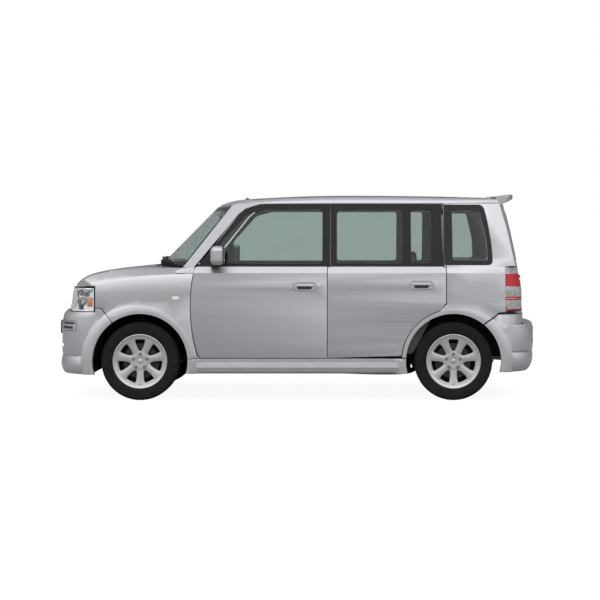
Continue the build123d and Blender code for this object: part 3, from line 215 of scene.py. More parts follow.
def woven_material(name, colour):
    """Upholstery cloth: two crossed sets of fine threads and a soft sheen."""
    g = Graph(name, Roughness=0.92, Sheen_Weight=0.35)
    waves = []
    for axis in ("X", "Y", "Z"):
        wave = g.add("ShaderNodeTexWave", {"Scale": 210.0, "Distortion": 0.6}, bands_direction=axis)
        g.plug(g.coords(), wave.inputs["Vector"])
        waves.append(wave.outputs["Fac"])
    weave = g.math("MAXIMUM", g.math("MULTIPLY", waves[0], waves[1]), waves[2])
    dark = tuple(c * 0.6 for c in colour[:3]) + (1,)
    g.set("Base Color", g.mix(weave, dark, colour))
    g.bump(weave, 0.5, 0.0008)
    return g.material


def glass_material(name, colour, shadow):
    """Clear or tinted glass that lets light through to what is behind it."""
    g = Graph(name, Roughness=0.01, IOR=1.45, Transmission_Weight=1.0)
    streaks = g.ramp(g.noise(3.0, 2.0), 0.3, 0.7)
    g.set("Base Color", g.mix(streaks, tuple(c * 0.97 for c in colour[:3]) + (1,), colour))
    see_through(g, shadow)
    return g.material


def see_through(g, shadow):
    """Lets shadow and diffuse rays straight through a glass, tinted."""
    clear = g.add("ShaderNodeBsdfTransparent", {"Color": shadow})
    path = g.add("ShaderNodeLightPath")
    either = g.math("MAXIMUM", path.outputs["Is Shadow Ray"], path.outputs["Is Diffuse Ray"])
    both = g.add("ShaderNodeMixShader", {0: either, 1: g.bsdf.outputs[0], 2: clear.outputs[0]})
    g.tree.links.new(both.outputs[0], g.tree.nodes["Material Output"].inputs["Surface"])


def tail_lens_material(levels):
    """The rear lamp's cover: clear and red bands by height."""
    g = Graph("tail_lens", Roughness=0.16, IOR=1.45, Transmission_Weight=0.3, Coat_Weight=0.15)
    ribs = g.add("ShaderNodeTexWave", {"Scale": 60.0}, bands_direction="Z")
    g.plug(g.coords(), ribs.inputs["Vector"])
    height, colour = g.height(), g.mix(g.ramp(g.noise(30.0, 3.0), 0.35, 0.65), grey(0.34), grey(0.60))
    for low, high in levels:
        above, below = g.math("GREATER_THAN", height, low), g.math("LESS_THAN", height, high)
        colour = g.mix(g.math("MULTIPLY", above, below), colour, (0.55, 0.002, 0.004, 1))
    g.set("Base Color", colour)
    g.bump(ribs.outputs["Fac"], 0.25, 0.001)
    return g.material


# --- mesh helpers --------------------------------------------------------------------------------
def add_piece(name, verts, faces, material, body="body", slot=None, crease=35, replaces=()):
    """A new piece from points in millimetres, riding on a body."""
    return finish_piece(name, mesh_of(name, verts, faces), material, body, crease, replaces)


def face_outwards(mesh, merge=True):
    """Merges a mesh's doubles and turns its faces outwards."""
    bm = bmesh.new()
    bm.from_mesh(mesh)
    if merge:
        bmesh.ops.remove_doubles(bm, verts=bm.verts, dist=1e-6)
    bmesh.ops.recalc_face_normals(bm, faces=bm.faces)
    bm.to_mesh(mesh)
    bm.free()


def finish_piece(name, mesh, material, body="body", crease=35, replaces=()):
    """Cleans a mesh, gives it its material and edges, and sets it on its body."""
    face_outwards(mesh)
    mesh.materials.clear()
    mesh.materials.append(MATERIALS[material])
    mesh.shade_smooth()
    mesh.set_sharp_from_angle(angle=math.radians(crease))
    obj = add_object(name, mesh)
    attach(obj, body)
    if replaces:
        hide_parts(*replaces)
    return obj


def joined(*parts):
    """Several (points, faces) parts as one."""
    verts, faces = [], []
    for points, polygons in parts:
        base = len(verts)
        verts += [tuple(p) for p in points]
        faces += [tuple(i + base for i in polygon) for polygon in polygons]
    return verts, faces


def corners(node):
    """The low and high corner of a CAD node's box."""
    return [Vector(c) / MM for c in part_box(node)]


def middle(node):
    low, high = corners(node)
    return (low + high) / 2


def wheel_place(end, side, unit=1.0):
    """A wheel's middle, with Y pointing out of the car on both sides."""
    sign = 1 if side == "left" else -1
    return Matrix.Translation(middle(f"tyre_{end}_{side}") * unit) @ Matrix.Diagonal((1, sign, 1, 1))


def placed(x, y, z, degrees, axis="Z"):
    """A place for a turned part."""
    return Matrix.Translation((x, y, z)) @ Matrix.Rotation(math.radians(degrees), 4, axis)


def moved(part, matrix):
    """A part's points through a matrix."""
    return [matrix @ Vector(p) for p in part[0]], part[1]


def grid_faces(rows, columns, wrap_rows=False, wrap_columns=True):
    """The four-sided faces of a grid of points, given row by row."""
    faces = []
    for i in range(rows if wrap_rows else rows - 1):
        for j in range(columns if wrap_columns else columns - 1):
            a, b = i % rows, (i + 1) % rows
            c, d = j % columns, (j + 1) % columns
            faces.append((a * columns + c, a * columns + d, b * columns + d, b * columns + c))
    return faces


def revolved(profile, steps=96):
    """A profile of (radius, y) turned about the Y axis."""
    verts = []
    for radius, y in profile:
        for k in range(steps):
            turn = 2 * math.pi * k / steps
            verts.append((radius * math.sin(turn), y, radius * math.cos(turn)))
    return verts, grid_faces(len(profile), steps, wrap_rows=True)


def lofted(sections):
    """A skin over closed sections with the same number of points."""
    count = len(sections[0])
    verts = [p for section in sections for p in section]
    faces = grid_faces(len(sections), count)
    faces.append(tuple(range(count))[::-1])
    faces.append(tuple(range(len(verts) - count, len(verts))))
    return verts, faces


def boxed(x0, x1, y0, y1, z0, z1, radius=4.0, n=3):
    """A box with rounded upright edges and chamfered top and bottom, as a loft along Z."""
    radius = min(radius, (x1 - x0) / 2.01, (y1 - y0) / 2.01, (z1 - z0) / 2.01)
    outline = rounded_outline([(x0, y0), (x1, y0), (x1, y1), (x0, y1)], radius, n)
    cx, cy = (x0 + x1) / 2, (y0 + y1) / 2
    sections = []
    steps = [math.pi / 2 * k / n for k in range(n + 1)]
    levels = [(z0 + radius * (1 - math.sin(a)), radius * (1 - math.cos(a))) for a in reversed(steps)]
    levels += [(z1 - radius * (1 - math.sin(a)), radius * (1 - math.cos(a))) for a in steps]
    for z, inset in levels:
        fx, fy = 1 - inset / ((x1 - x0) / 2), 1 - inset / ((y1 - y0) / 2)
        sections.append([(cx + (x - cx) * fx, cy + (y - cy) * fy, z) for x, y in outline])
    return lofted(sections)


def side_box(sign, x0, x1, y0, y1, z0, z1, radius):
    """A rounded box on one side of the car, from its distances from the middle."""
    return boxed(x0, x1, *sorted((sign * y0, sign * y1)), z0, z1, radius)


def rounded_outline(points, radius, n=5):
    """A closed 2D run of corners, each rounded with a small arc."""
    result = []
    count = len(points)
    for i in range(count):
        p, a, b = (Vector(points[k % count]) for k in (i, i - 1, i + 1))
        to_a, to_b = (a - p).normalized(), (b - p).normalized()
        reach = min(radius, (a - p).length / 2.05, (b - p).length / 2.05)
        start, end = p + to_a * reach, p + to_b * reach
        for k in range(n + 1):
            t = k / n
            result.append(tuple(start * (1 - t) ** 2 + p * (2 * t * (1 - t)) + end * t**2))
    return result


def resampled(outline, count):
    """A closed 2D run with evenly spaced points."""
    points = [Vector(p) for p in outline] + [Vector(outline[0])]
    lengths = [0.0]
    for a, b in zip(points, points[1:]):
        lengths.append(lengths[-1] + (b - a).length)
    result, j = [], 0
    for k in range(count):
        want = lengths[-1] * k / count
        while lengths[j + 1] < want:
            j += 1
        t = (want - lengths[j]) / max(lengths[j + 1] - lengths[j], 1e-9)
        result.append(tuple(points[j].lerp(points[j + 1], t)))
    return result


def tube(path, radius, sides=8, closed=False):
    """A round bar along a run of points."""
    points = [Vector(p) for p in path]
    count = len(points)
    sections = []
    for i, p in enumerate(points):
        before = points[(i - 1) % count] if closed or i else points[0]
        after = points[(i + 1) % count] if closed or i < count - 1 else points[-1]
        along = (after - before).normalized()
        helper = Vector((0, 1, 0)) if abs(along.y) < 0.8 else Vector((1, 0, 0))
        u = along.cross(helper).normalized()
        v = along.cross(u)
        ring = []
        for k in range(sides):
            turn = 2 * math.pi * k / sides
            ring.append(tuple(p + (u * math.cos(turn) + v * math.sin(turn)) * radius))
        sections.append(ring)
    if closed:
        verts = [q for ring in sections for q in ring]
        return verts, grid_faces(len(sections), sides, wrap_rows=True)
    return lofted(sections)


class Skin:
    """The outer surface of some CAD nodes, for setting pieces on it."""

    def __init__(self, *names):
        verts, polygons = [], []
        for name in names:
            mesh = NODES[name].data
            base = len(verts)
            verts += [v.co.copy() for v in mesh.vertices]
            polygons += [tuple(i + base for i in p.vertices) for p in mesh.polygons]
        self.tree = BVHTree.FromPolygons(verts, polygons)

    def hit(self, origin, direction):
        place, normal, _, _ = self.tree.ray_cast(Vector(origin) * MM, Vector(direction))
        return (None, None) if place is None else (place / MM, normal)

    def side(self, u, v, sign):
        return self.hit((u, sign * 1500, v), (0, -sign, 0))

    def front(self, u, v, sign):
        return self.hit((sign * 3000, u, v), (-sign, 0, 0))

    def top(self, u, v, sign=1):
        return self.hit((u, v, sign * 3000), (0, 0, -sign))


def on_skin(skin, way, outline, sign):
    """Where 2D points fall on a skin, with the last good place kept past its edge."""
    places, last = [], None
    for u, v in outline:
        place, normal = getattr(skin, way)(u, v, sign)
        if place is not None:
            last = (place, normal)
        places.append(last)
    first = next(p for p in places if p is not None)
    return [p or first for p in places]


def patch(skin, way, outline, sign=1, lift=2.0, depth=4.0, crown=0.0, rings=4):
    """A thin closed slab with a 2D outline, lying on a skin and a little proud of it."""
    cx = sum(p[0] for p in outline) / len(outline)
    cy = sum(p[1] for p in outline) / len(outline)
    count = len(outline)
    verts = []
    for k in range(rings):
        scale = 1 - k / rings
        ring = [(cx + (u - cx) * scale, cy + (v - cy) * scale) for u, v in outline]
        for place, normal in on_skin(skin, way, ring, sign):
            verts.append(place + normal * (lift + crown * (1 - scale**2)))
    place, normal = on_skin(skin, way, [(cx, cy)], sign)[0]
    verts.append(place + normal * (lift + crown))
    for place, normal in on_skin(skin, way, outline, sign):
        verts.append(place - normal * depth)
    faces = grid_faces(rings, count)
    middle, base = rings * count, rings * count + 1
    for j in range(count):
        k = (j + 1) % count
        faces.append(((rings - 1) * count + j, (rings - 1) * count + k, middle))
        faces.append((j, base + j, base + k, k))
    faces.append(tuple(range(base, base + count)))
    return verts, faces


def frame_patch(skin, way, outer, inner, sign=1, lift=2.0, depth=4.0, count=96, across=3):
    """A thin closed ring between two 2D outlines, lying on a skin."""
    outer, inner = resampled(outer, count), resampled(inner, count)

    def apart(shift):
        return sum(math.dist(outer[i], inner[(i + shift) % count]) for i in range(0, count, 8))

    shift = min(range(count), key=apart)
    inner = inner[shift:] + inner[:shift]
    rows = []
    for k in range(across + 1):
        t = k / across
        flat = [(a[0] + (b[0] - a[0]) * t, a[1] + (b[1] - a[1]) * t) for a, b in zip(outer, inner)]
        rows.append(on_skin(skin, way, flat, sign))
    verts = [p - n * depth for p, n in rows[0]]
    for row in rows:
        verts += [p + n * lift for p, n in row]
    verts += [p - n * depth for p, n in rows[-1]]
    return verts, grid_faces(across + 3, count, wrap_rows=True)


def bead(skin, way, outline, sign=1, radius=3.0, lift=0.0, count=120, closed=True):
    """A round bead along a 2D run on a skin."""
    run = resampled(outline, count) if closed else outline
    return tube([p + n * lift for p, n in on_skin(skin, way, run, sign)], radius, closed=closed)


def both(make, name, *args, **settings):
    """A piece for each side: make(sign) gives its points, and the name gets the side."""
    for sign, side in SIDES:
        verts, faces = make(sign)
        own = {k: v.format(side=side) if isinstance(v, str) else v for k, v in settings.items()}
        add_piece(f"{name}_{side}", verts, faces, *args, **own)


def turned_repeat(name, part, count, material, body, placement, wobble=0.0):
    """Copies of a part evenly round the Y axis, made by Geometry Nodes and kept as a plain mesh."""
    mesh = mesh_of(name + "_unit", *part)
    obj = add_object(name, mesh)
    modifier = obj.modifiers.new("repeat", "NODES")
    modifier.node_group = TURNED_COPIES
    sockets = {s.name: s.identifier for s in TURNED_COPIES.interface.items_tree if s.in_out == "INPUT"}
    modifier[sockets["Count"]] = count
    modifier[sockets["Wobble"]] = wobble
    modifier[sockets["Seed"]] = 7
    modifier[sockets["Material"]] = MATERIALS[material]
    graph = bpy.context.evaluated_depsgraph_get()
    made = bpy.data.meshes.new_from_object(obj.evaluated_get(graph))
    made.transform(placement)
    bpy.data.objects.remove(obj)
    bpy.data.meshes.remove(mesh)
    return finish_piece(name, made, material, body, crease=30)


def turned_copies_group():
    """Geometry Nodes: the input copied round the Y axis, each copy a little out of pitch."""
    tree = bpy.data.node_groups.new("turned_copies", "GeometryNodeTree")
    sockets = (("Unit", "NodeSocketGeometry"), ("Count", "NodeSocketInt"), ("Wobble", "NodeSocketFloat"),
               ("Seed", "NodeSocketInt"), ("Material", "NodeSocketMaterial"))
    for name, kind in sockets:
        tree.interface.new_socket(name, in_out="INPUT", socket_type=kind)
    tree.interface.new_socket("Copies", in_out="OUTPUT", socket_type="NodeSocketGeometry")

    def add(kind, **settings):
        node = tree.nodes.new(kind)
        for key, value in settings.items():
            setattr(node, key, value)
        return node

    start, end = add("NodeGroupInput"), add("NodeGroupOutput")
    points, index = add("GeometryNodePoints"), add("GeometryNodeInputIndex")
    share, turn = add("ShaderNodeMath", operation="DIVIDE"), add("ShaderNodeMath", operation="MULTIPLY")
    jitter, total = add("FunctionNodeRandomValue", data_type="FLOAT"), add("ShaderNodeMath", operation="ADD")
    scaled, angles = add("ShaderNodeMath", operation="MULTIPLY"), add("ShaderNodeCombineXYZ")
    copies, real = add("GeometryNodeInstanceOnPoints"), add("GeometryNodeRealizeInstances")
    paint = add("GeometryNodeSetMaterial")
    turn.inputs[1].default_value = 2 * math.pi
    jitter.inputs[2].default_value, jitter.inputs[3].default_value = -1.0, 1.0
    wire(tree, (
        (start.outputs["Count"], points.inputs["Count"]), (index.outputs[0], share.inputs[0]),
        (start.outputs["Count"], share.inputs[1]), (share.outputs[0], turn.inputs[0]),
        (start.outputs["Seed"], jitter.inputs["Seed"]), (jitter.outputs[1], scaled.inputs[0]),
        (start.outputs["Wobble"], scaled.inputs[1]), (turn.outputs[0], total.inputs[0]),
        (scaled.outputs[0], total.inputs[1]), (total.outputs[0], angles.inputs["Y"]),
        (points.outputs[0], copies.inputs["Points"]), (start.outputs["Unit"], copies.inputs["Instance"]),
        (angles.outputs[0], copies.inputs["Rotation"]), (copies.outputs[0], real.inputs[0]),
        (real.outputs[0], paint.inputs["Geometry"]), (start.outputs["Material"], paint.inputs["Material"]),
        (paint.outputs[0], end.inputs[0]),
    ))
    return tree


TURNED_COPIES = turned_copies_group()

# --- materials of the CAD nodes --------------------------------------------------------------------
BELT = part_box("door_glass_front_left")[0][2] - 0.026
MATERIALS = {
    "paint": paint_material(),
    "door": two_zone_material("paint_and_frame", BELT),
    "underbody": plain_material("underbody", (0.009, 0.009, 0.01), 0.85, grain=0.0004,
                                Specular_IOR_Level=0.2),
    "glass": glass_material("side_glass", (0.50, 0.58, 0.56, 1), (0.48, 0.54, 0.52, 1)),
    "tyre": plain_material("tyre", (0.0062, 0.0062, 0.0068), 0.85, grain=0.0003, scale=700.0, dust=0.03,
                           Specular_IOR_Level=0.25),
    # The rims' dust setting darkens them towards the ground: painted shade.
    "rim": plain_material("rim", (0.50, 0.51, 0.53), 0.36, metallic=0.7, variation=0.06, dust=0.2),
    "steel": plain_material("steel", (0.35, 0.35, 0.36), 0.42, metallic=0.9),
    "brake": plain_material("brake", (0.06, 0.058, 0.055), 0.5, metallic=0.7, variation=0.3),
    "iron": plain_material("iron", (0.03, 0.028, 0.026), 0.62, metallic=0.6, grain=0.0005, scale=160.0),
    "engine": plain_material("engine", (0.28, 0.28, 0.29), 0.5, metallic=0.8, grain=0.0004, scale=200.0),
    "lens": glass_material("lens", (0.93, 0.95, 0.96, 1), (0.9, 0.92, 0.93, 1)),
    "red_lens": tail_lens_material(((0.905, 1.012), (0.800, 0.826), (0.712, 0.728))),
    "red_plain": plain_material("red_plain", (0.42, 0.01, 0.012), 0.15, variation=0.1, Coat_Weight=0.7),
    "cream_lens": plain_material("cream_lens", (0.70, 0.64, 0.50), 0.12, variation=0.05, Coat_Weight=0.7),
    "amber": plain_material("amber", (0.72, 0.20, 0.02), 0.15, variation=0.1, Coat_Weight=0.7),
    "reflector": plain_material("reflector", (0.82, 0.82, 0.83), 0.16, metallic=1.0, variation=0.03),
    "black_gloss": plain_material("black_gloss", (0.008, 0.0085, 0.0095), 0.22, Specular_IOR_Level=0.35),
    "rubber": plain_material("rubber", (0.012, 0.012, 0.012), 0.65, grain=0.0002, scale=900.0),
    "dark_plastic": plain_material("dark_plastic", (0.018, 0.018, 0.019), 0.5, grain=0.0002, scale=900.0),
    "grey_plastic": plain_material("grey_plastic", (0.06, 0.06, 0.065), 0.6, grain=0.0003, scale=800.0),
    "trim": plain_material("trim", (0.11, 0.11, 0.115), 0.7, grain=0.0004, scale=600.0),
    "lining": plain_material("lining", (0.42, 0.42, 0.40), 0.9, grain=0.0006, scale=500.0),
    "carpet": plain_material("carpet", (0.045, 0.045, 0.05), 0.98, grain=0.0016, scale=700.0),
    "fabric": woven_material("fabric", (0.085, 0.088, 0.095, 1)),
    "piping": plain_material("piping", (0.02, 0.02, 0.022), 0.7),
    "plate": plain_material("plate", (0.78, 0.78, 0.76), 0.5, variation=0.03),
    "mirror_glass": plain_material("mirror_glass", (0.9, 0.92, 0.93), 0.03, metallic=1.0, variation=0.02),
}
SPECIAL = {"head_lamp_bowls": "reflector", "tail_lamp_housings": "black_gloss", "radiator_grille": "paint"}


def dress_nodes():
    """Gives every CAD node its material, and the painted and pressed ones softened edges."""
    for entry in frame["record"]["subparts"]:
        node, key = entry["node"], entry["material_slot"]
        if node.startswith(("door_front", "door_rear")):
            key = "door"
        key = SPECIAL.get(node, key)
        obj = NODES[node]
        obj.data.materials.clear()
        obj.data.materials.append(MATERIALS[key])
        if key in ("paint", "door"):
            soften(obj)


EDGE_ROUNDING = 1.6


def soften(obj):
    """Welds a CAD skin's seams and rounds its sharp edges a little."""
    weld = obj.modifiers.new("weld", "WELD")
    weld.merge_threshold = 0.00002
    flat = obj.modifiers.new("flat", "DECIMATE")
    flat.decimate_type, flat.angle_limit = "DISSOLVE", math.radians(0.4)
    edge = obj.modifiers.new("edge", "BEVEL")
    edge.width, edge.segments, edge.angle_limit = EDGE_ROUNDING * MM, 2, math.radians(30)
    edge.harden_normals = True


# --- wheels ----------------------------------------------------------------------------------------
TYRE_RADIUS = 311.0
TREAD_GROOVES, TREAD_BLOCKS = (18.0, 46.0), 76
SPOKES, WHEEL_NUTS, NUT_PITCH = 7, 5, 58.0
SIDEWALL = ((204, 81.5), (212, 83), (217, 86.5), (221, 87.5), (228, 89.5), (236, 91), (239, 92.6), (243, 92.6),
            (245, 91.8), (254, 93.6), (264, 94), (275, 93), (284, 91.4), (286, 91.9), (289, 91.6), (291, 90),
            (297, 86), (303, 81), (307.5, 75), (309.6, 68))
SPOKE = ((50, 36, 70, 30), (66, 35, 71, 30), (82, 29, 72.5, 28), (100, 27, 74, 26), (125, 28.5, 76, 26),
         (150, 32, 78, 26), (167, 37, 80, 24), (177, 46, 81, 20), (186, 58, 81.4, 16))
RIM_RING = ((174, 60), (176, 76), (181, 80.5), (198, 82.5), (203, 85), (207, 89), (213, 91), (217, 89.5),
            (217.4, 84), (205, 82.6), (203.6, 70), (203.5, 0), (203.5, -82.6), (217, -84), (217, -90),
            (203, -90), (196, -80), (192, -40), (190, 0), (190, 40), (186, 58))


def tyre_part():
    tread = []
    for y in sorted(TREAD_GROOVES + tuple(-y for y in TREAD_GROOVES), reverse=True):
        crown = TYRE_RADIUS - 1.4 * (y / 68) ** 2
        tread += [(crown, y + 3.6), (crown - 7.5, y + 2.8), (crown - 7.5, y - 2.8), (crown, y - 3.6)]
    profile = list(SIDEWALL) + tread + [(r, -y) for r, y in reversed(SIDEWALL)]
    return revolved(profile, 144)


def shoulder_block(side):
    """One block of the tread's shoulder, wrapped from the tread to the sidewall."""
    run = ((310.4, 60, 0, 1), (309.4, 70, 0.2, 1), (306, 79, 0.6, 0.8), (300.5, 85, 0.8, 0.6),
           (294, 89, 0.95, 0.3))
    sections = []
    for r, y, out, up in run:
        ring = []
        for x, lift in ((-8, -3), (-8, 0.9), (8, 0.9), (8, -3)):
            ring.append((x, side * (y + out * lift), r + up * lift))
        sections.append(ring)
    return lofted(sections)


def spoke_part():
    sections = []
    for r, w, face, t in SPOKE:
        outline = ((-w, face - t), (-w, face - 6), (-w + 2.5, face - 2), (-w + 8, face), (0, face + 1.3),
                   (w - 8, face), (w - 2.5, face - 2), (w, face - 6), (w, face - t))
        sections.append([(x, y, -r) for x, y in outline])
    return lofted(sections)


def nut_part(radius, y0, y1, sides, top=0.86):
    sections = []
    for y, scale in ((y0, 1.0), (y1 - 2, 1.0), (y1, top)):
        ring = []
        for k in range(sides):
            turn = 2 * math.pi * k / sides
            ring.append((radius * scale * math.cos(turn), y, NUT_PITCH + radius * scale * math.sin(turn)))
        sections.append(ring)
    return lofted(sections)


def wheel(end, side):
    """One dressed wheel: tyre and tread, seven-spoke rim, nuts, cap, brake disc and valve."""
    spot = f"{end}_{side}"
    body = f"wheel_{spot}"
    place, metres = wheel_place(end, side), wheel_place(end, side, MM)
    add_piece(f"tyre_cover_{spot}", *moved(tyre_part(), place), "tyre", body, "tyre", 28, [f"tyre_{spot}"])
    for part_side, label in ((1, "outer"), (-1, "inner")):
        block = shoulder_block(part_side)
        turned_repeat(f"tread_blocks_{label}_{spot}", block, TREAD_BLOCKS, "tyre", body, metres, 0.012)
    turned_repeat(f"rim_spokes_{spot}", spoke_part(), SPOKES, "rim", body, metres)
    hub = revolved(((0.5, 40), (0.5, 67), (21, 67.5), (22.5, 70.5), (34, 71.6), (50, 72.4), (70, 72.8),
                    (80, 70), (83, 60), (60, 44)), 84)
    shell = moved(joined(revolved(RIM_RING, 120), hub), place)
    add_piece(f"rim_shell_{spot}", *shell, "rim", body, "rim", 30, [f"rim_{spot}"])
    well = nut_part(12.5, 66, 73.6, 24, top=0.97)
    turned_repeat(f"nut_wells_{spot}", well, WHEEL_NUTS, "dark_plastic", body, metres)
    turned_repeat(f"wheel_nuts_{spot}", nut_part(8.8, 66, 79, 6), WHEEL_NUTS, "steel", body, metres)
    cap = revolved(((0.4, 66), (0.4, 75.5), (10, 75.2), (17, 73.8), (20, 71.5), (20.6, 68)), 48)
    add_piece(f"wheel_cap_{spot}", *moved(cap, place), "rim", body)
    disc = revolved(((63, 24), (63, 30), (140, 30), (140, 22), (128, 21), (128, 17), (140, 16), (140, 8),
                     (63, 8)), 96)
    hat = revolved(((1, 20), (1, 44), (58, 44), (64, 40), (64, 8), (40, 8), (40, 20)), 60)
    add_piece(f"brake_disc_{spot}", *moved(joined(disc, hat), place), "brake", body)
    valve = joined(tube([(0, 60, -168), (0, 76, -176), (0, 86, -184)], 3.2))
    add_piece(f"tyre_valve_{spot}", *moved(valve, place), "rubber", body)


def caliper(end, side):
    """The brake caliper, fixed beside the disc, behind the spokes."""
    body = f"knuckle_{side}" if end == "front" else "body"
    sections = []
    for k in range(7):
        turn = math.radians(60 + 60 * k / 6) * (1 if end == "rear" else -1)
        ring = []
        for r, y in ((96, -4), (96, 42), (132, 46), (152, 40), (154, -2), (130, -8)):
            ring.append((r * math.sin(turn), y, r * math.cos(turn)))
        sections.append(ring)
    solid = moved(lofted(sections), wheel_place(end, side))
    add_piece(f"brake_caliper_{end}_{side}", *solid, "iron", body, crease=40)


# --- glass surrounds, seals and side trim ------------------------------------------------------------
FRONT_WINDOW = [(600, 1092), (600, 1262), (390, 1492), (250, 1526), (-216, 1526), (-216, 1092)]
REAR_WINDOW = [(-326, 1094), (-326, 1524), (-856, 1524), (-856, 1094)]
REAR_VENT = [(-926, 1096), (-926, 1524), (-1086, 1524), (-1086, 1096)]
QUARTER_WINDOW = [(-1260, 1120), (-1258, 1512), (-1476, 1512), (-1528, 1300), (-1540, 1120)]
QUARTER_SURROUND = [(-1120, 1078), (-1120, 1564), (-1508, 1564), (-1540, 1440), (-1572, 1240), (-1582, 1078)]
SURROUND_FRONT_X = -1189


def window_trim():
    """Rubber seals round the side windows and the black surround of the rear quarter window."""
    spots = (
        ("front", FRONT_WINDOW, 30), ("rear", REAR_WINDOW, 24), ("vent", REAR_VENT, 20),
    )
    for label, points, radius in spots:
        end = "front" if label == "front" else "rear"
        skins = {1: Skin(f"door_{end}_left"), -1: Skin(f"door_{end}_right")}
        edge = rounded_outline(points, radius, 6)
        outer = scaled(edge, 5)
        both(lambda sign: bead(skins[sign], "side", outer, sign, 4.2, 0.6, 160),
             f"{label}_window_seal", "rubber", body=f"door_{end}_{{side}}", slot="dark_plastic")
    both(pillar_seal, "quarter_pillar_seal", "rubber")
    skin = Skin("rear_quarters")
    inner = scaled(rounded_outline(QUARTER_WINDOW, 24, 6), 3)
    outer = [(min(x, SURROUND_FRONT_X), z) for x, z in rounded_outline(QUARTER_SURROUND, 44, 8)]
    both(lambda sign: frame_patch(skin, "side", outer, inner, sign, 1.6, 3.0, 140, 4),
         "quarter_surround", "black_gloss", slot="dark_plastic", crease=60)
    both(lambda sign: bead(skin, "side", scaled(inner, 1.5), sign, 3.4, 1.0, 150), "quarter_seal", "rubber")


def pillar_seal(sign):
    """The upright seal behind the gap between the rear door and the quarter window."""
    skin, path = Skin("rear_quarters"), []
    for z in range(1082, 1561, 30):
        place = skin.side(-1200, z, sign)[0]
        if place is not None:
            path.append((-1187, place.y - sign * 17, z))
    return tube(path, 7.5, 8)


def windscreen_band():
    """The black printed band round the windscreen's edge."""
    skin = Skin("windscreen")
    outer = rounded_outline([(-688, 1074), (688, 1074), (590, 1548), (-590, 1548)], 30, 6)
    add_piece("windscreen_band", *frame_patch(skin, "front", outer, scaled(outer, -30), 1, 0.5, 1.0, 200, 4),
              "black_gloss", slot="dark_plastic", crease=60)


def scaled(outline, grow):
    """A closed 2D run grown outwards by a distance, along its own normals."""
    count = len(outline)
    area = sum(outline[i - 1][0] * outline[i][1] - outline[i][0] * outline[i - 1][1] for i in range(count))
    turn = 1 if area > 0 else -1
    result = []
    for i in range(count):
        a, b = Vector(outline[i - 1]), Vector(outline[(i + 1) % count])
        along = (b - a).normalized()
        result.append((outline[i][0] + turn * grow * along.y, outline[i][1] - turn * grow * along.x))
    return result


def super_ellipse(half_u, half_v, count, power):
    """Points round a rounded box about the origin; a higher power gives tighter corners."""
    result = []
    for k in range(count):
        turn = 2 * math.pi * k / count
        c, s = math.cos(turn), math.sin(turn)
        result.append((half_u * math.copysign(abs(c) ** (2 / power), c),
                       half_v * math.copysign(abs(s) ** (2 / power), s)))
    return result


def oval(cx, cy, width, height, count=40, power=4.0):
    """A rounded box outline."""
    return [(cx + u, cy + v) for u, v in super_ellipse(width / 2, height / 2, count, power)]


def slot_outline(cx, cy, width, height):
    """A long hole's outline, with half-round ends."""
    r, count = height / 2, 16
    result = []
    for end in (1, -1):
        for k in range(count + 1):
            turn = math.pi * k / count - math.pi / 2
            result.append((cx + end * (width / 2 - r + r * math.cos(turn)), cy + end * r * math.sin(turn)))
    return result


def side_fittings():
    """Door handles' grips, pockets and gaskets, and the side repeater lamps."""
    for end, x, z in (("front", -78, 908), ("rear", -1010, 918)):
        skins = {1: Skin(f"door_{end}_left"), -1: Skin(f"door_{end}_right")}

        # The pocket is a real hollow, but its dark lining is painted shade.
        def pocket(sign, x=x, z=z, skins=skins):
            plate = skins[sign].side(x - 60, z + 22, sign)[0]
            y = sign * plate.y
            rows = []
            for depth, grow in ((-1.0, 0.6), (-1.2, -1.6), (-24, -6)):
                edge = scaled(slot_outline(x + 4, z - 10, 116, 26), grow)
                rows.append([(u, sign * (y + depth), v) for u, v in edge])
            return lofted(rows)

        both(pocket, f"{end}_handle_pocket", "dark_plastic", body=f"door_{end}_{{side}}", slot="dark_plastic")

        def grip(sign, x=x, z=z, skins=skins):
            plate = skins[sign].side(x - 60, z + 22, sign)[0]
            y = sign * plate.y
            sections = []
            for k in range(13):
                t = k / 12 * 2 - 1
                rise = 4.0 + 9.0 * (1 - t**4)
                half = 9.5 - 2.5 * t**4
                ring = [(x + 4 + 78 * t, sign * (y - 2 + rise * 0.5 + (rise * 0.5 + 1.5) * math.sin(a)),
                         z + 8 + half * math.cos(a)) for a in (2 * math.pi * j / 14 for j in range(14))]
                sections.append(ring)
            return lofted(sections)

        both(grip, f"{end}_handle_grip", "paint", body=f"door_{end}_{{side}}", slot="paint", crease=50)
        edge = slot_outline(x, z, 190, 66)

        def gasket(sign, edge=edge, skins=skins):
            return bead(skins[sign], "side", scaled(edge, 1.5), sign, 1.5, -0.6, 120)

        both(gasket, f"{end}_handle_gasket", "rubber", body=f"door_{end}_{{side}}")
    skin = Skin("front_fenders")
    both(lambda sign: patch(skin, "side", oval(953, 811, 74, 36, power=2.6), sign, 2.0, 3.0, 1.5),
         "repeater_base", "reflector")
    both(lambda sign: patch(skin, "side", oval(953, 811, 62, 25, power=2.6), sign, 4.0, 1.0, 3.5),
         "repeater_lens", "cream_lens")


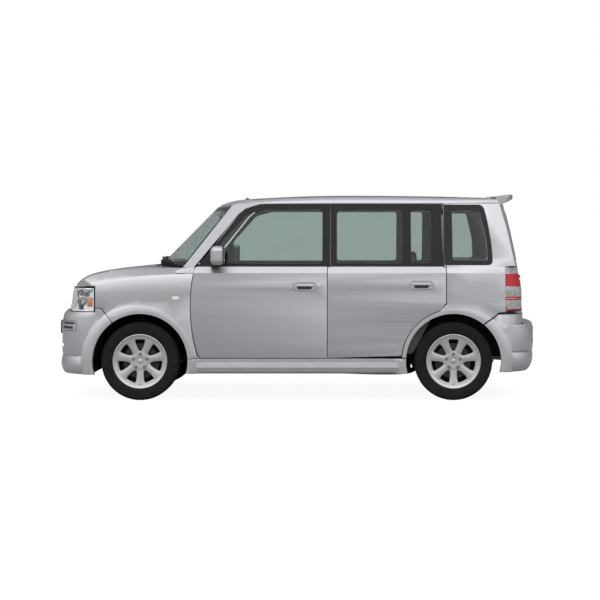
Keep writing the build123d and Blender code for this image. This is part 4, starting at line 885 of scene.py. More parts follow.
def mirrors():
    """Each door mirror's glass, rim, black foot and seam."""
    for sign, side in SIDES:
        body = f"door_front_{side}"
        low = corners(f"door_mirror_{side}")[0]
        y0, y1 = sorted((sign * 852, sign * 955))
        outline = rounded_outline([(y0, 1094), (y1, 1094), (y1, 1220), (y0, 1220)], 22, 5)
        front = [(low.x + 6 + 0.02 * abs(y), y, z) for y, z in outline]
        back = [(x + 5, y, z) for x, y, z in front]
        add_piece(f"mirror_glass_{side}", *lofted([front, back]), "mirror_glass", body, crease=30)
        foot = side_box(sign, 594, 676, 776, 866, 1062, 1092, 9)
        add_piece(f"mirror_foot_{side}", *foot, "dark_plastic", body)
        rim = tube([(low.x + 2.5, y, z) for y, z in scaled(outline, 3)], 3.4, closed=True)
        add_piece(f"mirror_rim_{side}", *rim, "dark_plastic", body)
    cover = {1: Skin("door_mirror_left"), -1: Skin("door_mirror_right")}
    seam = [(560 + 8 * k, 1102) for k in range(13)]
    both(lambda sign: bead(cover[sign], "side", seam, sign, 1.0, 0.0, closed=False), "mirror_seam", "rubber",
         body="door_front_{side}")


def cowl_corners():
    """Painted fillets that carry each front fender's shoulder up to the windscreen pillar's foot."""
    def corner(sign):
        sections = []
        for x, top, outer in ((806, 1060, 789), (850, 1058, 789), (899, 1052, 790), (935, 1040, 793),
                              (958, 1026, 797)):
            rim = ((802, 1014), (801.5, 1018), (outer, top - 1), (outer - 3, top), (724, top),
                   (722, top - 2), (722, 1014))
            sections.append([(x, sign * y, z) for y, z in rim])
        return lofted(sections)

    both(corner, "cowl_corner", "paint", slot="paint", crease=50)


# --- front -----------------------------------------------------------------------------------------
LAMP_CENTRE = (1614.0, 562.0)
PLATE_Z, REAR_PLATE_Z = 556.0, 888.0


def corner_path(skin, z, sign, lift=0.5):
    """Points round a front lamp's outside at a height, from its rear edge to its inner end."""
    cx, cy = LAMP_CENTRE
    rays = [((x, sign * 1500, z), (0, -sign, 0)) for x in (1605, 1610)]
    for k in range(19):
        turn = math.radians(90 - 5 * k)
        out = Vector((math.cos(turn), sign * math.sin(turn), 0))
        rays.append((Vector((cx, sign * cy, z)) + out * 900, -out))
    rays += [((3000, sign * y, z), (-1, 0, 0)) for y in (540, 500, 460, 404)]
    path = []
    for origin, direction in rays:
        place, normal = skin.hit(origin, direction)
        if place is not None:
            path.append(place + normal * lift)
    return path


def head_lamps():
    """Reflectors, bulbs and an amber corner lamp inside each headlamp, and the gasket round it."""
    skin = Skin("head_lamp_lenses")
    cx, cy = LAMP_CENTRE

    def gasket(sign):
        top, low = corner_path(skin, 897, sign), corner_path(skin, 705.5, sign)
        return tube(top + low[::-1], 4.2, closed=True)

    both(gasket, "head_lamp_gasket", "rubber", slot="dark_plastic")

    def dish(x, y, radius, depth):
        radii = [7 + (radius - 7) * k / 8 for k in range(9)]
        profile = [(r, depth * (r / radius) ** 2) for r in radii]
        profile += [(radius + 3, depth), (radius + 3, depth - 4), (12, -6)]
        return moved(revolved(profile, 56), placed(x, y, 814, -90))

    def bulb(x, y):
        return moved(revolved(((0.3, 0), (8, 0), (9, 20), (7, 34), (0.3, 38)), 20), placed(x, y, 814, -90))

    spots = ((1694, 604, 62, 50), (1742, 478, 54, 46))
    both(lambda sign: joined(*(dish(x, sign * y, r, depth) for x, y, r, depth in spots)),
         "lamp_reflector", "reflector", crease=50)
    both(lambda sign: joined(*(bulb(x, sign * y) for x, y, _, _ in spots)), "lamp_bulb", "lens")

    def amber(sign):
        sections = []
        for z, grow in ((744, -3), (749, 0), (812, 0), (817, -3)):
            ring = []
            for turn_deg, r in ((76, 180), (76, 208), (80, 211), (84, 211), (87, 207), (87, 180)):
                turn = math.radians(turn_deg)
                ring.append((cx + (r + grow) * math.cos(turn), sign * (cy + (r + grow) * math.sin(turn)), z))
            sections.append(ring)
        return lofted(sections)

    both(amber, "lamp_indicator", "amber")

    both(lambda sign: joined(*(tube(corner_path(skin, z, sign, -15), 3) for z in (718, 884))),
         "lamp_bezel", "reflector")


def number_plate(end, face, way, z, body):
    """A blank number plate on its dark carrier, standing on a face that looks along X."""
    for name, material, width, height, power, near, far in (
        (f"plate_carrier_{end}", "dark_plastic", 530, 116, 9, -16, 3),
        (f"plate_{end}", "plate", 516, 104, 14, 3.2, 5.2),
    ):
        outline, rows = oval(0, z, width, height, power=power), []
        for depth, grow in ((near, 0), (far - 0.8, 0), (far, -1.2)):
            rows.append([(face + way * depth, y, v) for y, v in scaled(outline, grow)])
        add_piece(name, *lofted(rows), material, body, crease=50)


def front_details():
    """Grille bars, intake mesh, fog lamps, bumper slots, the blank plate and washer jets; the slots and the
    dark sheets behind the grille and intakes are painted shade.
    """
    skin = Skin("front_bumper")
    face_x = corners("radiator_grille")[1].x
    bars = []
    for i in range(3):
        z = 753 + 50 * i
        bars.append(boxed(face_x - 52, face_x - 40, -358, 358, z - 3, z + 3, 2))
    for k in range(-14, 15):
        bars.append(boxed(face_x - 60, face_x - 54, k * 24 - 2, k * 24 + 2, 734, 872, 1.5))
    add_piece("grille_bars", *joined(*bars), "dark_plastic")
    # A dark sheet close behind the grille bars: painted shade in the opening.
    add_piece("grille_shade_sheet", *boxed(face_x - 74, face_x - 68, -372, 372, 726, 880, 2), "underbody")
    mesh_bars = []
    for k in range(-17, 18):
        for x, lean in ((1902, -24), (1900, 24)):
            run = [(x, k * 24 + lean * t, z) for t, z in ((1, 306), (0, 410), (-1, 514))]
            mesh_bars.append(tube(run, 2.4, 5))
    add_piece("intake_mesh", *joined(*mesh_bars), "dark_plastic")
    # Dark sheets close behind the intakes: painted shade in the openings.
    add_piece("intake_shade_sheet", *boxed(1884, 1890, -428, 428, 258, 518, 2), "underbody")
    add_piece("upper_intake_shade_sheet", *boxed(1884, 1890, -378, 378, 592, 666, 2), "underbody")
    number_plate("front", skin.front(0, PLATE_Z, 1)[0].x, 1, PLATE_Z, "body")
    for sign, side in SIDES:
        lamp = placed(1884, sign * 560, 417, -90)
        dish = moved(revolved(((2, -20), (30, 4), (33, 8), (36, 8), (36, -22), (2, -26)), 36), lamp)
        add_piece(f"fog_lamp_bowl_{side}", *dish, "reflector")
        glass = moved(revolved(((0.3, 9), (20, 8), (31, 5), (33, 3), (31, 2), (0.3, 5)), 36), lamp)
        add_piece(f"fog_lamp_lens_{side}", *glass, "lens")
    # The two bumper slots are dark patches proud of the skin: painted shade standing in for recessed slots.
    for label, z, x0, half in (("upper", 612, 1766, 8), ("lower", 576, 1786, 10)):
        slot = [(x0, z - half), (x0, z + half), (1878, z + half), (1878, z - half)]
        rows = resampled(rounded_outline(slot, 7), 72)
        both(lambda sign, rows=rows: patch(skin, "side", rows, sign, 0.7, 3),
             f"bumper_slot_{label}", "dark_plastic")
    edge = rounded_outline([(1752, 552), (1752, 632), (1888, 632), (1888, 552)], 22)
    both(lambda sign: bead(skin, "side", edge, sign, 2.0, -0.4, 90), "bumper_slot_frame", "rubber",
         slot="dark_plastic")
    lid = Skin("bonnet")
    for sign, side in SIDES:
        place = lid.top(1150, sign * 330)[0]
        jet = moved(joined(boxed(-14, 14, -9, 9, -3, 7, 4)), Matrix.Translation(place))
        add_piece(f"washer_jet_{side}", *jet, "dark_plastic", "bonnet")


# --- wheel housings and underside ------------------------------------------------------------------
def arch_liners():
    """Black liners in the front wheel housings: the curved roof and the inner wall."""
    axle_x, axle_z = middle("tyre_front_left").x, TYRE_RADIUS
    turns = [math.radians(-14 + 208 * k / 40) for k in range(41)]

    def liner(sign):
        rows = []
        for y in (782, 760, 700, 600, 500, 430, 418):
            ring = []
            for k, turn in enumerate(turns):
                r = 384 if y > 420 else 380
                r -= 1.5 if k % 4 == 0 and 430 < y < 760 else 0.0
                ring.append((axle_x + r * math.cos(turn), sign * y, axle_z + r * math.sin(turn)))
            rows.append(ring)
        inner = [(axle_x + 300 * math.cos(a), sign * 418, axle_z + 40 + 290 * math.sin(a)) for a in turns]
        rows.append(inner)
        verts = [p for row in rows for p in row]
        faces = grid_faces(len(rows), 41, wrap_columns=False)
        return verts, faces

    for sign, side in SIDES:
        obj = add_piece(f"arch_liner_front_{side}", *liner(sign), "underbody", crease=50)
        thicken(obj, 2.4)


def thicken(obj, width):
    """Gives a sheet its wall, as a live modifier."""
    wall = obj.modifiers.new("wall", "SOLIDIFY")
    wall.thickness = width * MM
    wall.offset = 0


def shields():
    """Dished dust shields behind the brake discs."""
    for end in ("front", "rear"):
        for _, side in SIDES:
            body = f"knuckle_{side}" if end == "front" else "body"
            dish = revolved(((18, -6), (150, -6), (158, -3), (182, -3), (184, 0), (184, 2), (180, 0), (158, 0),
                             (150, -3), (18, -3)), 72)
            dish = moved(dish, wheel_place(end, side))
            add_piece(f"brake_shield_{end}_{side}", *dish, "underbody", body, crease=40)


def underside():
    """Exhaust pipe with its tip, and the front and rear springs."""
    pipe = [(1080, 60, 210), (900, 60, 190), (300, 60, 190), (-200, 80, 190), (-400, 330, 192),
            (-900, 350, 192), (-1010, 335, 270), (-1130, 325, 362), (-1300, 320, 385), (-1440, 290, 350),
            (-1530, 250, 310)]
    add_piece("exhaust_pipe", *tube(smooth_run(pipe, 60), 21, 14), "iron")
    tip = tube([(-1600, -240, 275), (-1760, -240, 262), (-1905, -240, 258), (-1925, -240, 258)], 24, 20)
    inner = tube([(-1926, -240, 258), (-1850, -240, 260)], 20, 20)
    add_piece("exhaust_tip", *joined(tip, inner), "steel", crease=40)
    for sign, side in SIDES:
        x = middle(f"knuckle_{side}").x
        coil = [(x + 56 * math.cos(t), sign * 610 + 56 * math.sin(t), 520 + 160 * t / (12 * math.pi))
                for t in (12 * math.pi * k / 240 for k in range(241))]
        add_piece(f"front_spring_{side}", *tube(coil, 6, 8), "iron", f"knuckle_{side}")
        rear_x = middle(f"tyre_rear_{side}").x
        coil = [(rear_x + 90 + 50 * math.cos(t), sign * 524 + 50 * math.sin(t), 342 + 66 * t / (8 * math.pi))
                for t in (8 * math.pi * k / 160 for k in range(161))]
        add_piece(f"rear_spring_{side}", *tube(coil, 6, 8), "iron")


def smooth_run(points, count):
    """A smooth curve through a few points, evenly sampled by parameter."""
    result = []
    spans = len(points) - 1
    for k in range(count + 1):
        t = min(k / count * spans, spans - 1e-6)
        i, f = int(t), t - int(t)
        p = [Vector(points[max(0, min(spans, i + d))]) for d in (-1, 0, 1, 2)]
        a, b = (p[2] - p[0]) / 2, (p[3] - p[1]) / 2
        result.append(p[1] * (2 * f**3 - 3 * f**2 + 1) + a * (f**3 - 2 * f**2 + f)
                      + p[2] * (3 * f**2 - 2 * f**3) + b * (f**3 - f**2))
    return result


# --- rear -------------------------------------------------------------------------------------------
TAIL_CORNER = (-1716.0, 690.0)


def tail_lamps():
    """The tail lamps' gaskets, painted corner covers and bright ribs."""
    skin = Skin("tail_lamp_lenses")

    def corner_run(sign, z):
        points = [skin.side(x, z, sign)[0] for x in (-1684, -1700, TAIL_CORNER[0])]
        for k in range(13):
            turn = math.radians(90 + 7.5 * k)
            out = Vector((math.cos(turn), sign * math.sin(turn), 0))
            centre = Vector((TAIL_CORNER[0], sign * TAIL_CORNER[1], z))
            points.append(skin.hit(centre + out * 500, -out)[0])
        points.append(skin.front(sign * 672, z, -1)[0])
        return [p for p in points if p is not None]

    def gasket(sign):
        return tube(corner_run(sign, 1064) + corner_run(sign, 717)[::-1], 3.6, closed=True)

    both(gasket, "tail_lamp_gasket", "rubber", slot="dark_plastic")

    def corners(sign):
        parts = []
        for z, way, reach in ((1068.5, -1, 40), (713.5, 1, 20)):
            arc = [(-1678 - reach + reach * math.cos(a), z + way * (reach - reach * math.sin(a)))
                   for a in (math.pi / 2 * k / 10 for k in range(11))]
            parts.append(patch(skin, "side", resampled([(-1678, z)] + arc, 40), sign, 1.6, 2.5, rings=2))
        return joined(*parts)

    both(corners, "tail_lamp_corners", "paint", slot="paint", crease=60)

    def band(z, radius):
        return lambda sign: tube(corner_run(sign, z), radius, 8)

    for label, z in (("upper", 1012), ("middle", 905), ("lower", 813)):
        both(band(z, 1.6), f"tail_lamp_rib_{label}", "reflector")


def tailgate_details():
    """Rear wiper, blank plate and its lamps, window seal, grip, stop lamp and the bumper's reflectors."""
    skin, glass = Skin("tailgate"), Skin("tailgate_glass")
    # A dark patch proud of the tailgate round the plate: painted shade for a recess.
    plate_shade_patch = patch(skin, "front", oval(0, 900, 560, 150, power=10), -1, 2.0, 3.0)
    add_piece("plate_shade_patch_rear", *plate_shade_patch, "dark_plastic", "tailgate", "dark_plastic")
    number_plate("rear", skin.front(0, REAR_PLATE_Z, -1)[0].x - 3, -1, REAR_PLATE_Z, "tailgate")
    garnish = patch(skin, "front", oval(0, 1002, 600, 38, power=6), -1, 12, 4, 3)
    add_piece("tailgate_garnish", *garnish, "paint", "tailgate", "paint")
    for sign, side in SIDES:
        lamp = patch(skin, "front", oval(sign * 130, 968, 60, 15, power=4), -1, 8, 3, 1)
        add_piece(f"plate_lamp_{side}", *lamp, "lens", "tailgate")
    hub, normal = skin.front(0, 1090, -1)
    pivot = moved(revolved(((0.4, 0), (0.4, 22), (9, 21), (13, 16), (15, 8), (20, 4), (20, 0)), 32),
                  Matrix.Translation(hub) @ normal.to_track_quat("Y", "Z").to_matrix().to_4x4())
    add_piece("rear_wiper_pivot", *pivot, "dark_plastic", "tailgate")
    arm, blade = [], []
    for k in range(13):
        t = k / 12
        place, out = glass.front(-10 - 330 * t, 1135 + 30 * t, -1)
        if place is None:
            place, out = skin.front(-10 - 330 * t, 1135 + 30 * t, -1)
        arm.append(place + out * (16 - 4 * t))
    for k in range(17):
        t = k / 16
        place, out = glass.front(-130 - 300 * t, 1146 + 22 * t, -1)
        if place is not None:
            blade.append(place + out * 6)
    add_piece("rear_wiper_arm", *tube([hub + normal * 16] + arm, 5.5, 8), "dark_plastic", "tailgate")
    add_piece("rear_wiper_blade", *tube(blade, 5.0, 6), "rubber", "tailgate")
    window = rounded_outline([(-560, 1120), (560, 1120), (520, 1500), (-520, 1500)], 40, 8)
    seal = bead(skin, "front", scaled(window, 3), -1, 4.0, 0.5, 180)
    add_piece("tailgate_window_seal", *seal, "rubber", "tailgate", "dark_plastic")
    x = skin.front(0, 1638, -1)[0].x
    lamp = boxed(x - 2.5, x + 9, -110, 110, 1633, 1645, 2)
    add_piece("high_stop_lamp", *lamp, "red_lens", "tailgate", "lens")
    add_piece("tailgate_grip", *boxed(-1876, -1852, -90, 90, 960, 982, 6), "dark_plastic", "tailgate")
    bumper = Skin("rear_bumper")
    for sign, side in SIDES:
        spot = patch(bumper, "front", oval(sign * 560, 470, 120, 34, power=6), -1, 2.5, 3.0, 1)
        add_piece(f"rear_reflector_{side}", *spot, "red_plain")
    seam = [(x, 588) for x in range(-560, 561, 20)]
    add_piece("bumper_step_strip", *bead(bumper, "front", seam, -1, 2.0, 0.2, closed=False), "rubber")


# --- roof and windscreen ------------------------------------------------------------------------------
CHANNEL = ((-7, -2), (-6, 1.2), (0, 2.4), (6, 1.2), (7, -2))


def roof_details():
    """Black roof channels, pressed beads, and the aerial's base above the windscreen."""
    skin = Skin("roof_panel", "side_frames")
    for sign, side in SIDES:
        run = [(x, sign * 600) for x in range(-1570, 380, 30)]
        places = [p + n * 0.4 for p, n in (skin.top(x, y) for x, y in run) if p is not None]
        sections = []
        for p in places:
            sections.append([(p.x, p.y + dy, p.z + dz) for dy, dz in CHANNEL])
        add_piece(f"roof_channel_{side}", *lofted(sections), "rubber", slot="dark_plastic", crease=40)
    place = skin.top(430, 0)[0]
    base = moved(revolved(((0.4, 0), (0.4, 16), (7, 15), (12, 9), (20, 3), (22, 0)), 32),
                 Matrix.Translation(place) @ Vector((0, 0, 1)).to_track_quat("Y", "Z").to_matrix().to_4x4())
    add_piece("aerial_base", *base, "rubber", slot="dark_plastic")
    for y in (-300, -150, 0, 150, 300):
        run = [(x, y) for x in range(-1350, 151, 50)]
        add_piece(f"roof_bead_{y + 300}", *bead(skin, "top", run, 1, 5.0, -3.6, closed=False), "paint",
                  slot="paint", crease=60)


def wiper_arms():
    """Arms and rubbers over the two wipers at the foot of the windscreen."""
    skin = Skin("wipers")
    parts, rubbers = [], []
    for y_spindle, y_tip in ((40, 520), (-500, -60)):
        path, blade = [], []
        step = (y_tip - y_spindle) / 12
        for k in range(13):
            y = y_spindle + step * k
            hits = [skin.top(x, y)[0] for x in range(900, 1250, 3)]
            hit = max((p for p in hits if p is not None), key=lambda p: p.z, default=None)
            if hit is not None:
                path.append(hit + Vector((0, 0, 5)))
                blade.append(hit + Vector((-9, 0, 4)))
        parts.append(tube(path, 5.0, 8))
        rubbers.append(tube(blade, 3.6, 6))
    add_piece("wiper_arms", *joined(*parts), "dark_plastic", slot="dark_plastic")
    add_piece("wiper_rubbers", *joined(*rubbers), "rubber")


# --- padded seats ----------------------------------------------------------------------------------
PADS = []
SEAT_Y = 345.0
PAD_GRID, PAD_SWELL = 0.011, 22.0
CLOTH_FRAMES = 20


def pad(name, rings, replaces=()):
    """A stuffed piece from closed rings, remeshed now and blown up later with the others."""
    mesh = mesh_of(name, *lofted(rings))
    face_outwards(mesh, merge=False)
    obj = add_object(name, mesh)
    grid = obj.modifiers.new("grid", "REMESH")
    grid.mode, grid.voxel_size = "VOXEL", PAD_GRID
    graph = bpy.context.evaluated_depsgraph_get()
    even = bpy.data.meshes.new_from_object(obj.evaluated_get(graph))
    obj.modifiers.remove(grid)
    obj.data = even
    even.materials.clear()
    even.materials.append(MATERIALS["fabric"])
    PADS.append((obj, replaces))


def blow_up_pads():
    """Lets all pads swell under a little air pressure, caps how far a point moves, and finishes them."""
    starts = {}
    for obj, _ in PADS:
        starts[obj.name] = [v.co.copy() for v in obj.data.vertices]
        cloth = obj.modifiers.new("cloth", "CLOTH")
        cloth.settings.quality = 4
        cloth.settings.use_pressure = True
        cloth.settings.uniform_pressure_force = 4.0
        cloth.settings.tension_stiffness = cloth.settings.compression_stiffness = 12.0
        cloth.settings.effector_weights.gravity = 0.0
        cloth.point_cache.frame_start, cloth.point_cache.frame_end = 1, CLOTH_FRAMES
    for frame_number in range(1, CLOTH_FRAMES + 1):
        bpy.context.scene.frame_set(frame_number)
    graph = bpy.context.evaluated_depsgraph_get()
    for obj, _ in PADS:
        swollen = [v.co.copy() for v in obj.evaluated_get(graph).data.vertices]
        obj.modifiers.remove(obj.modifiers["cloth"])
        for vertex, before, after in zip(obj.data.vertices, starts[obj.name], swollen):
            step = after - before
            if step.length > PAD_SWELL * MM:
                step *= PAD_SWELL * MM / step.length
            vertex.co = before + step
    bpy.context.scene.frame_set(1)
    for obj, replaces in PADS:
        obj.data.shade_smooth()
        smooth = obj.modifiers.new("smooth", "SUBSURF")
        smooth.levels = smooth.render_levels = 1
        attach(obj, "body")
        if replaces:
            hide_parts(*replaces)


def level_ring(x_mid, y_mid, z, half_x, half_y, dip=0.0, count=40, power=5.0):
    """A rounded-box ring at a height, its front face hollowed between the side bolsters."""
    ring = []
    for x, y in super_ellipse(half_x, half_y, count, power):
        if x > 0:
            x -= dip * (1 - (y / half_y) ** 2)
        ring.append((x_mid + x, y_mid + y, z))
    return ring


def cushion_ring(x, y_mid, half, low, high, dip):
    """A rounded-box ring at a station, its top hollowed between the side bolsters."""
    ring = []
    for y, z in super_ellipse(half, (high - low) / 2, 40, 4.5):
        if z > 0:
            z -= dip * (1 - (y / half) ** 2)
        ring.append((x, y_mid + y, (low + high) / 2 + z))
    return ring


def front_seat(sign, side):
    """One front seat: cushion, back and headrest, posts, base, rails and lever; the seams come later."""
    x, y = corners("front_seats")[0].x + 360, sign * SEAT_Y
    cushion = [cushion_ring(x + dx, y, half, z0, z1, dip) for dx, half, z0, z1, dip in (
        (-218, 205, 472, 533, 12), (-190, 222, 460, 548, 20), (0, 227, 458, 552, 24), (180, 228, 458, 557, 22),
        (238, 222, 461, 555, 14), (256, 202, 472, 538, 6))]
    pad(f"front_seat_cushion_{side}", cushion, ("front_seats",))
    back = []
    for z, hx, hy, dip in ((540, 48, 205, 14), (575, 56, 222, 22), (760, 54, 226, 26), (950, 46, 212, 20),
                           (1060, 38, 185, 10), (1092, 26, 160, 4)):
        back.append(level_ring(x - 224 - 0.155 * (z - 540), y, z, hx, hy, dip))
    pad(f"front_seat_back_{side}", back)
    rest = [level_ring(x - 308 - dz * 0.05, y, 1112 + dz, hx, hy) for dz, hx, hy in (
        (0, 20, 86), (14, 27, 102), (76, 30, 106), (134, 26, 98), (150, 16, 78))]
    pad(f"front_headrest_{side}", rest)
    posts = joined(*(tube([(x - 300, y + dy, 1040), (x - 310, y + dy, 1130)], 6, 10) for dy in (-55, 55)))
    add_piece(f"headrest_posts_{side}", *posts, "steel")
    base = joined(boxed(x - 175, x + 195, y - 185, y + 185, 300, 452, 20),
                  boxed(x - 120, x + 150, y - 150, y + 150, 262, 310, 8))
    add_piece(f"front_seat_base_{side}", *base, "dark_plastic")
    rails = joined(*(boxed(x - 230, x + 240, y + dy - 14, y + dy + 14, 244.5, 266, 3) for dy in (-150, 150)))
    add_piece(f"seat_rails_{side}", *rails, "steel")
    lever = side_box(sign, x - 230, x - 120, SEAT_Y + 238, SEAT_Y + 252, 470, 500, 7)
    add_piece(f"recliner_lever_{side}", *lever, "dark_plastic")


def rear_bench():
    """The rear bench: cushion, split back and three headrests."""
    cushion = [cushion_ring(x, 0, half, z0, z1, 8) for x, half, z0, z1 in (
        (-848, 556, 472, 528), (-822, 580, 457, 544), (-640, 583, 455, 547), (-474, 581, 457, 551),
        (-446, 570, 462, 544), (-434, 550, 476, 532))]
    pad("rear_seat_cushion", cushion, ("rear_seat",))
    for label, y0, y1 in (("left", 101, 578), ("right", -578, 91)):
        rings = []
        for z, hx, inset in ((515, 40, 26), (545, 58, 8), (760, 56, 4), (960, 46, 6), (1028, 38, 14),
                             (1050, 26, 34)):
            x, half = -880 - 0.145 * (z - 515), (y1 - y0) / 2 - inset
            rings.append(level_ring(x, (y0 + y1) / 2, z, hx, half, 10, 56, 7.0))
        pad(f"rear_seat_back_{label}", rings)
    for label, y in (("left", 370), ("middle", 0), ("right", -370)):
        rings = [level_ring(-960, y, 1064 + dz, hx, hy) for dz, hx, hy in (
            (0, 16, 88), (14, 24, 102), (66, 26, 106), (106, 22, 98), (120, 14, 80))]
        pad(f"rear_headrest_{label}", rings)
        posts = joined(*(tube([(-955, y + dy, 1020), (-960, y + dy, 1078)], 6, 10) for dy in (-55, 55)))
        add_piece(f"rear_headrest_posts_{label}", *posts, "steel")
    base = boxed(-870, -520, -480, 480, 246, 452, 14)
    add_piece("rear_seat_base", *base, "trim")


def seat_seams():
    """Sewn piping along the seats' edges, laid on the finished pads."""
    for sign, side in SIDES:
        y, runs = sign * SEAT_Y, []
        cushion, back = ObjectSkin(f"front_seat_cushion_{side}"), ObjectSkin(f"front_seat_back_{side}")
        for dy in (-150, 150):
            runs.append([cushion.top(x, y + dy) for x in range(-120, 300, 20)])
            runs.append([back.front(y + dy, z, 1) for z in range(590, 1060, 24)])
        for x in (40, 180):
            runs.append([cushion.top(x, y + dy) for dy in range(-150, 151, 20)])
        for z in (760, 940):
            runs.append([back.front(y + dy, z, 1) for dy in range(-150, 151, 20)])
        parts = []
        for run in runs:
            points = [p + n * 0.6 for p, n in run if p is not None]
            if len(points) > 3:
                parts.append(tube(points, 2.6, 6))
        add_piece(f"front_seat_seams_{side}", *joined(*parts), "piping")
    cushion = ObjectSkin("rear_seat_cushion")
    parts = []
    for y in (-420, -200, 200, 420):
        run = [cushion.top(x, y) for x in range(-800, -440, 20)]
        parts.append(tube([p + n * 0.6 for p, n in run if p is not None], 2.6, 6))
    add_piece("rear_seat_seams", *joined(*parts), "piping")


class ObjectSkin(Skin):
    """The skin of a piece made here."""

    def __init__(self, name):
        mesh = bpy.data.objects[name].data
        corners = [v.co.copy() for v in mesh.vertices]
        self.tree = BVHTree.FromPolygons(corners, [tuple(p.vertices) for p in mesh.polygons])


def seats():
    front_seat(1, "left")
    front_seat(-1, "right")
    rear_bench()
    blow_up_pads()
    seat_seams()


# --- cabin -------------------------------------------------------------------------------------------
def door_cards():
    """Inner door panels with an armrest, a cloth insert, a pull handle and, on the front doors, a speaker."""
    z0 = 366
    for end, x0, x1 in (("front", -218, 640), ("rear", -1090, -372)):
        for sign, side in SIDES:
            body = f"door_{end}_{side}"
            tail, back = (150, x0 - 60) if end == "rear" else (0, x0)
            outline = rounded_outline([(x0 + tail, z0), (x1, z0), (x1, 1036), (back, 1036),
                                       (back, z0 + 250 + tail)], 24, 5)
            rows = []
            for y, grow in ((734.6, 0), (730, 0), (727, -3), (726, -8)):
                rows.append([(x, sign * y, z) for x, z in scaled(outline, grow)])
            add_piece(f"door_card_{end}_{side}", *lofted(rows), "trim", body, crease=40)
            mid = (x0 + x1) / 2
            arm = side_box(sign, mid - 190, mid + 210, 682, 729, 690, 728, 14)
            add_piece(f"armrest_{end}_{side}", *arm, "grey_plastic", body)
            corners = [(mid - 250, 760), (mid + 260, 760), (mid + 240, 960), (mid - 250, 960)]
            insert = rounded_outline(corners, 30, 6)
            rows = [[(x, sign * y, z) for x, z in scaled(insert, grow)]
                    for y, grow in ((727, 0), (722, -2), (719, -8))]
            add_piece(f"door_insert_{end}_{side}", *lofted(rows), "lining", body, crease=50)
            run = ((120, 727), (130, 712), (190, 712), (200, 727))
            pull = tube([(mid + dx, sign * y, 985) for dx, y in run], 7, 10)
            add_piece(f"door_pull_{end}_{side}", *pull, "steel", body)
            if end == "front":
                cone = revolved(((0.4, 0), (20, 6), (66, 4), (70, 0), (70, -4), (0.4, -4)), 48)
                spot = placed(x1 - 110, sign * 722, 480, 180 if sign > 0 else 0, "X")
                add_piece(f"door_speaker_{side}", *moved(cone, spot), "dark_plastic", body)


def tray(x0, x1, profile, thick):
    """A long pressed sheet with the same cross-section all along, as a closed slab."""
    rows = []
    for x in (x0, x1):
        rows.append([(x, y, z) for y, z in profile] + [(x, y, z + thick) for y, z in reversed(profile)])
    return lofted(rows)


def cabin_lining():
    """Carpets, load floor, headlining, belts with their reel covers, and the load space's sides."""
    half = [(110, 334), (126, 322), (134, 252), (150, 245), (730, 245), (744, 262), (752, 300)]
    profile = [(-y, z) for y, z in reversed(half)] + half
    add_piece("carpet", *tray(-465, 840, profile, 7), "carpet", crease=50)
    flat = [(-680, 245), (680, 245)]
    add_piece("carpet_rear", *tray(-890, -466, flat, 6), "carpet")
    add_piece("load_floor", *boxed(-1662, -1012, -555, 555, 440.5, 452, 5), "carpet")
    skin = Skin("roof_panel")
    runs = []
    for x in range(-1540, 481, 60):
        run, z = [], 1580
        for y in range(-580, 581, 58):
            place, _ = skin.hit((x, y, 1200), (0, 0, 1))
            z = place.z - 4 if place is not None else z
            run.append((x, y, z))
        runs.append(run + [(x, y, z - 5) for x, y, z in reversed(run)])
    add_piece("headlining", *lofted(runs), "lining", crease=60)
    for sign, side in SIDES:
        add_piece(f"belt_reel_cover_{side}", *side_box(sign, -330, -250, 652, 687, 330, 560, 12), "trim")
        belt = tube([(-290, sign * 660, 1380), (-292, sign * 672, 900), (-290, sign * 668, 540)], 3, 6)
        wide = [(-290 + (x + 290) * 7, y, z) for x, y, z in belt[0]]
        add_piece(f"seat_belt_{side}", wide, belt[1], "piping")
        add_piece(f"cargo_side_{side}", *side_box(sign, -1655, -1250, 566, 584, 452, 900, 10), "trim")


